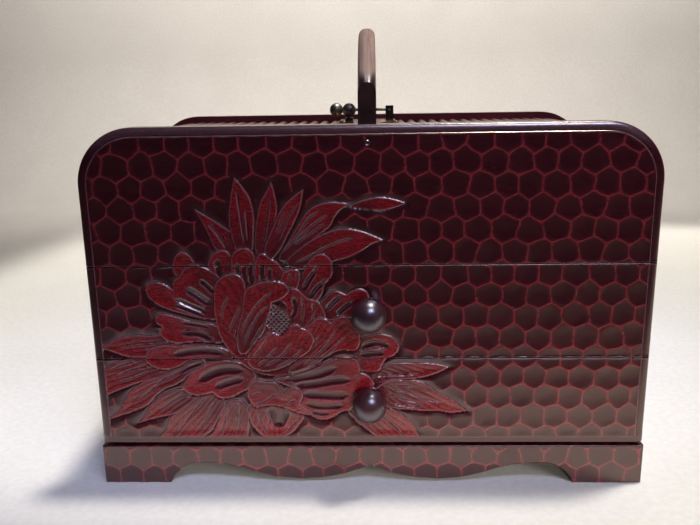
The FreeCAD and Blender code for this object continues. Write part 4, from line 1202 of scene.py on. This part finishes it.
def height_mask(tree, low, high):
    """Nought below one height and one above another, in metres, smooth between."""
    place = add_node(tree, "ShaderNodeTexCoord")
    split = add_node(tree, "ShaderNodeSeparateXYZ")
    feed(tree, split.inputs["Vector"], place.outputs["Object"])
    mask = add_node(tree, "ShaderNodeMapRange", interpolation_type="SMOOTHSTEP", From_Min=low, From_Max=high)
    feed(tree, mask.inputs["Value"], split.outputs["Z"])
    return mask.outputs["Result"]


def recolour(material, share, second):
    """Blend a second colour into a finished material by a share."""
    tree = material.node_tree
    base = tree.nodes["Principled BSDF"].inputs["Base Color"]
    feed(tree, base, blend_colour(tree, "MIX", share, base.links[0].from_socket, second))


def handle_with_painted_sheen():
    """Dark stained wood, painted pale and made dull along the grip, the painted sheen growing over the knee.
    """
    material = wood("handle_wood", squeeze=(1.0, 0.12, 0.35), deep=(0.012, 0.004, 0.004),
                    bright=(0.034, 0.011, 0.01), rough=0.36, scale=60.0, gloss=1.6)
    tree = material.node_tree
    grain = use_group(tree, GRAIN, Squeeze=(1.0, 0.06, 0.06), Figure_Scale=420.0, Pore_Scale=1600.0)
    painted_sheen = height_mask(tree, *GRIP_FADE)
    # painted sheen: pale brown over the grip in place of the reflection it catches
    grip = ramp(tree, grain["Figure"], (0.35, (0.17, 0.092, 0.07)), (0.65, (0.33, 0.21, 0.16)))
    recolour(material, painted_sheen, grip)
    feed(tree, tree.nodes["Principled BSDF"].inputs["Roughness"], spread_value(tree, painted_sheen, 0.34, 0.7))
    return material


FINISHES["handle_wood"] = handle_with_painted_sheen()
FINISHES["lid_wood"] = wood("lid_wood", squeeze=(1.0, 0.08, 1.0), deep=(0.05, 0.011, 0.009),
                            bright=(0.14, 0.036, 0.026), rough=0.38, scale=90.0, gloss=1.6)
FINISHES["inner_wood"] = wood("inner_wood", squeeze=(0.1, 1.0, 1.0), deep=(0.32, 0.19, 0.1),
                              bright=(0.52, 0.35, 0.2), rough=0.55, scale=40.0, gloss=1.45)
print("with woods:", ", ".join(FINISHES))

# %% [markdown]
# ## Metals
# The clasp is old brass, gilt on the thin foot of its plates and dark above, and the pins are
# steel. One flat colour would be quicker, but real tarnish is uneven, so clouds of noise choose
# between a dull and a bright metal. The plates' two colours turn at a height, as the wear on the
# handle does.

# %% Metals
FOOT_TOP = (0.1968, 0.1976)


def metal(name, deep, bright, rough):
    """Bare metal with tarnish in clouds and fine rubbing marks."""
    material, tree, shader = new_material(name, Metallic=1.0)
    mottle = use_group(tree, MOTTLE, Cloud_Scale=260.0, Speck_Scale=2600.0)
    colour = ramp(tree, mottle["Cloud"], (0.35, deep), (0.62, bright))
    dress(tree, shader, colour, spread_value(tree, mottle["Speck"], *rough), mottle["Speck"], 0.08, 0.0001)
    return material


def clasp_plate():
    """Rubbed gilt foot under a darkened block; the colour turns just above the plate's thin foot."""
    material = metal("plate_brass", deep=(0.34, 0.20, 0.11), bright=(0.66, 0.44, 0.26), rough=(0.25, 0.45))
    tree = material.node_tree
    gilt = tree.nodes["Principled BSDF"].inputs["Base Color"].links[0].from_socket
    dark = ramp(tree, gilt, (0.2, (0.035, 0.032, 0.026)), (0.6, (0.12, 0.11, 0.085)))
    recolour(material, height_mask(tree, *FOOT_TOP), dark)
    return material


FINISHES["screw_steel"] = metal("screw_steel", (0.18, 0.17, 0.16), (0.45, 0.44, 0.42), (0.25, 0.45))
FINISHES["clasp_brass"] = metal("clasp_brass", (0.1, 0.097, 0.078), (0.46, 0.44, 0.36), (0.34, 0.5))
plate_brass = clasp_plate()
print(f"{len(FINISHES)} finishes by slot, and one for the clasp's plates")

# %% [markdown]
# ## Dressing the solids
# Each solid comes with a slot that names its finish. Replacing the slot's material by name, and
# not object by object, means that a solid added later is dressed as well. Only the clasp's plates
# depart from their slot, because they show two colours.

# %% Give every solid its finish
for solid in nodes.values():
    for spot in solid.material_slots:
        spot.material = FINISHES[spot.material.name.split(".")[0]]
for name in ("left_clasp_plate", "right_clasp_plate"):
    nodes[name].material_slots[0].material = plate_brass
for piece in boards:
    piece.data.materials.append(FINISHES["carved_lacquer"])
for piece in pins:
    piece.data.materials.append(FINISHES["screw_steel"])
print("solids dressed:", len(nodes))

# %% [markdown]
# ## The floor
# Pale paper runs under the box and bends up behind it, as in a small photo studio. A plane and a
# wall would do, but the corner between them would show as a line, so one sheet follows a quarter
# circle.

# %% Paper sweep
SWEEP_HALF, SWEEP_FRONT, SWEEP_BACK, SWEEP_HIGH = 3000.0, -2500.0, 1200.0, 2600.0
SWEEP_BEND, BEND_STEPS = 300.0, 24


def sweep_paper():
    """Pale paper with a faint cloudiness and fine fibres."""
    material, tree, shader = new_material("sweep_paper", Roughness=0.9)
    mottle = use_group(tree, MOTTLE, Cloud_Scale=9.0, Speck_Scale=240.0)
    tint = ramp(tree, mottle["Cloud"], (0.3, (0.82, 0.805, 0.775)), (0.7, (0.86, 0.85, 0.82)))
    fibres = ramp(tree, mottle["Speck"], (0.35, 0.95), (0.65, 1.02))
    feed(tree, shader.inputs["Base Color"], blend_colour(tree, "MULTIPLY", 1.0, tint, fibres))
    return material


def paper_sweep():
    """A sheet spread along X: its profile runs along the floor, round a quarter circle and up a wall."""
    bend = np.radians(np.linspace(0, 90, BEND_STEPS))
    turn_y = SWEEP_BACK - SWEEP_BEND + SWEEP_BEND * np.sin(bend)
    turn_z = SWEEP_BEND - SWEEP_BEND * np.cos(bend)
    y = np.concatenate([[SWEEP_FRONT], turn_y, [SWEEP_BACK]])
    z = np.concatenate([[0.0], turn_z, [SWEEP_HIGH]])
    points = [np.stack([np.full(len(y), x), y, z], -1) for x in (-SWEEP_HALF, SWEEP_HALF)]
    left, right = np.arange(2 * len(y)).reshape(2, -1)
    faces = quads(left[:-1], right[:-1], right[1:], left[1:]).tolist()
    piece = make_piece("pale_sweep", np.vstack(points), faces)
    piece.data.materials.append(sweep_paper())


paper_sweep()
print(f"sweep bends up {SWEEP_BACK:.0f} mm behind the middle")

# %% [markdown]
# ## The light
# An even bright room would be the simplest light, but polished lacquer mirrors the floor before it
# and would turn grey all over, so where the light ends matters more than how strong it is. Soft
# boxes with grids, which keep light from spreading sideways, make a bright pool round the box that
# ends a hand's width before it: the low boards mirror bright paper and turn pale, and the high ones
# mirror dim paper and stay dark. Two weak lamps lift the front without showing in its gloss.

# %% Lamps
POOL_COLOUR, SKY_COLOUR = (1.0, 0.945, 0.85), (0.6, 0.65, 1.0)
WALL_COLOUR, FILL_COLOUR = (1.0, 0.91, 0.84), (1.0, 0.95, 0.88)


def stand(made, right, up, back, spot):
    """Place a lamp or camera by its own right, up and back directions, and put it in the scene."""
    place = np.eye(4)
    place[:3] = np.stack([right, up, back, spot], -1)
    made.matrix_world = Matrix(place)
    bpy.context.scene.collection.objects.link(made)


def lamp(name, spot, target, size, grid, power, colour, upward=(0, 0, 1)):
    """A soft box of a width and depth at a spot, facing a target; its grid is the angle light may spread."""
    light = bpy.data.lights.new(name, "AREA")
    light.shape, light.energy, light.color = "RECTANGLE", power, colour
    light.size, light.size_y = size
    light.spread = math.radians(grid)
    made = bpy.data.objects.new(name, light)
    back = np.subtract(spot, target) / np.linalg.norm(np.subtract(spot, target))
    side = np.cross(upward, back)
    side /= np.linalg.norm(side)
    stand(made, side, np.cross(back, side), back, spot)
    return made


lamp("top_lamp", (0.42, 0.36, 1.0), (0.22, 0.26, 0.0), (1.4, 0.9), 9, 3.2, POOL_COLOUR, (0.2, 1, 0))
lamp("window_lamp", (0.22, -0.5, 0.75), (0.03, -0.07, 0.2), (0.7, 0.28), 30, 0.4, SKY_COLOUR)
lamp("wall_lamp", (0.0, 0.68, 1.05), (0.0, 1.2, 0.42), (1.5, 0.4), 120, 6.8, WALL_COLOUR)
fills = [
    lamp("right_lamp", (0.7, -0.75, 0.34), (0.09, -0.07, 0.13), (0.3, 0.3), 34, 0.24, FILL_COLOUR),
    lamp("low_lamp", (0.2, -0.9, 0.1), (0.06, -0.07, 0.035), (0.4, 0.04), 12, 0.085, FILL_COLOUR),
]
for fill in fills:
    fill.visible_glossy = False
print(f"{len(bpy.data.lights)} soft boxes, {len(fills)} of them not mirrored")

# %% Room
ROOM_COLOUR, ROOM_LIGHT = (0.84, 0.86, 1.0, 1), 0.012
world = bpy.data.worlds.new("dim_room")
world.use_nodes = True
backdrop = world.node_tree.nodes["Background"]
backdrop.inputs["Color"].default_value = ROOM_COLOUR
backdrop.inputs["Strength"].default_value = ROOM_LIGHT
bpy.context.scene.world = world
bpy.context.scene.view_settings.view_transform = "Standard"
print("room light", ROOM_LIGHT)

# %% [markdown]
# ## The camera
# The camera stands close before the box and looks slightly down, so the verticals draw together.
# It could be aimed with a Track To constraint, but that leaves out the small roll of a camera held
# by hand, so its three directions are worked out from yaw, pitch and roll.

# %% Camera
EYE = np.array([1.44, -436.55, 215.7]) * MM
YAW, PITCH, ROLL = np.radians([-1.739, -13.607, -0.897])
SENSOR, FOCAL_PIXELS, PHOTO_PIXELS = 36.0, 716, 700
NEAR_CLIP = 0.01


def camera_axes():
    """Forward from yaw and pitch; right and up from it and the vertical, then rolled about it."""
    ahead = np.array([math.sin(YAW) * math.cos(PITCH), math.cos(YAW) * math.cos(PITCH), math.sin(PITCH)])
    level = np.cross(ahead, (0, 0, 1))
    level /= np.linalg.norm(level)
    upright = np.cross(level, ahead)
    right = level * math.cos(ROLL) + upright * math.sin(ROLL)
    return right, upright * math.cos(ROLL) - level * math.sin(ROLL), -ahead


lens = bpy.data.cameras.new("camera")
lens.lens, lens.sensor_width = SENSOR * FOCAL_PIXELS / PHOTO_PIXELS, SENSOR
lens.clip_start = NEAR_CLIP
camera = bpy.data.objects.new("camera", lens)
stand(camera, *camera_axes(), EYE)
bpy.context.scene.camera = camera
print(f"camera {-EYE[1] + FRONT * MM:.2f} m before the front, lens {lens.lens:.1f} mm")
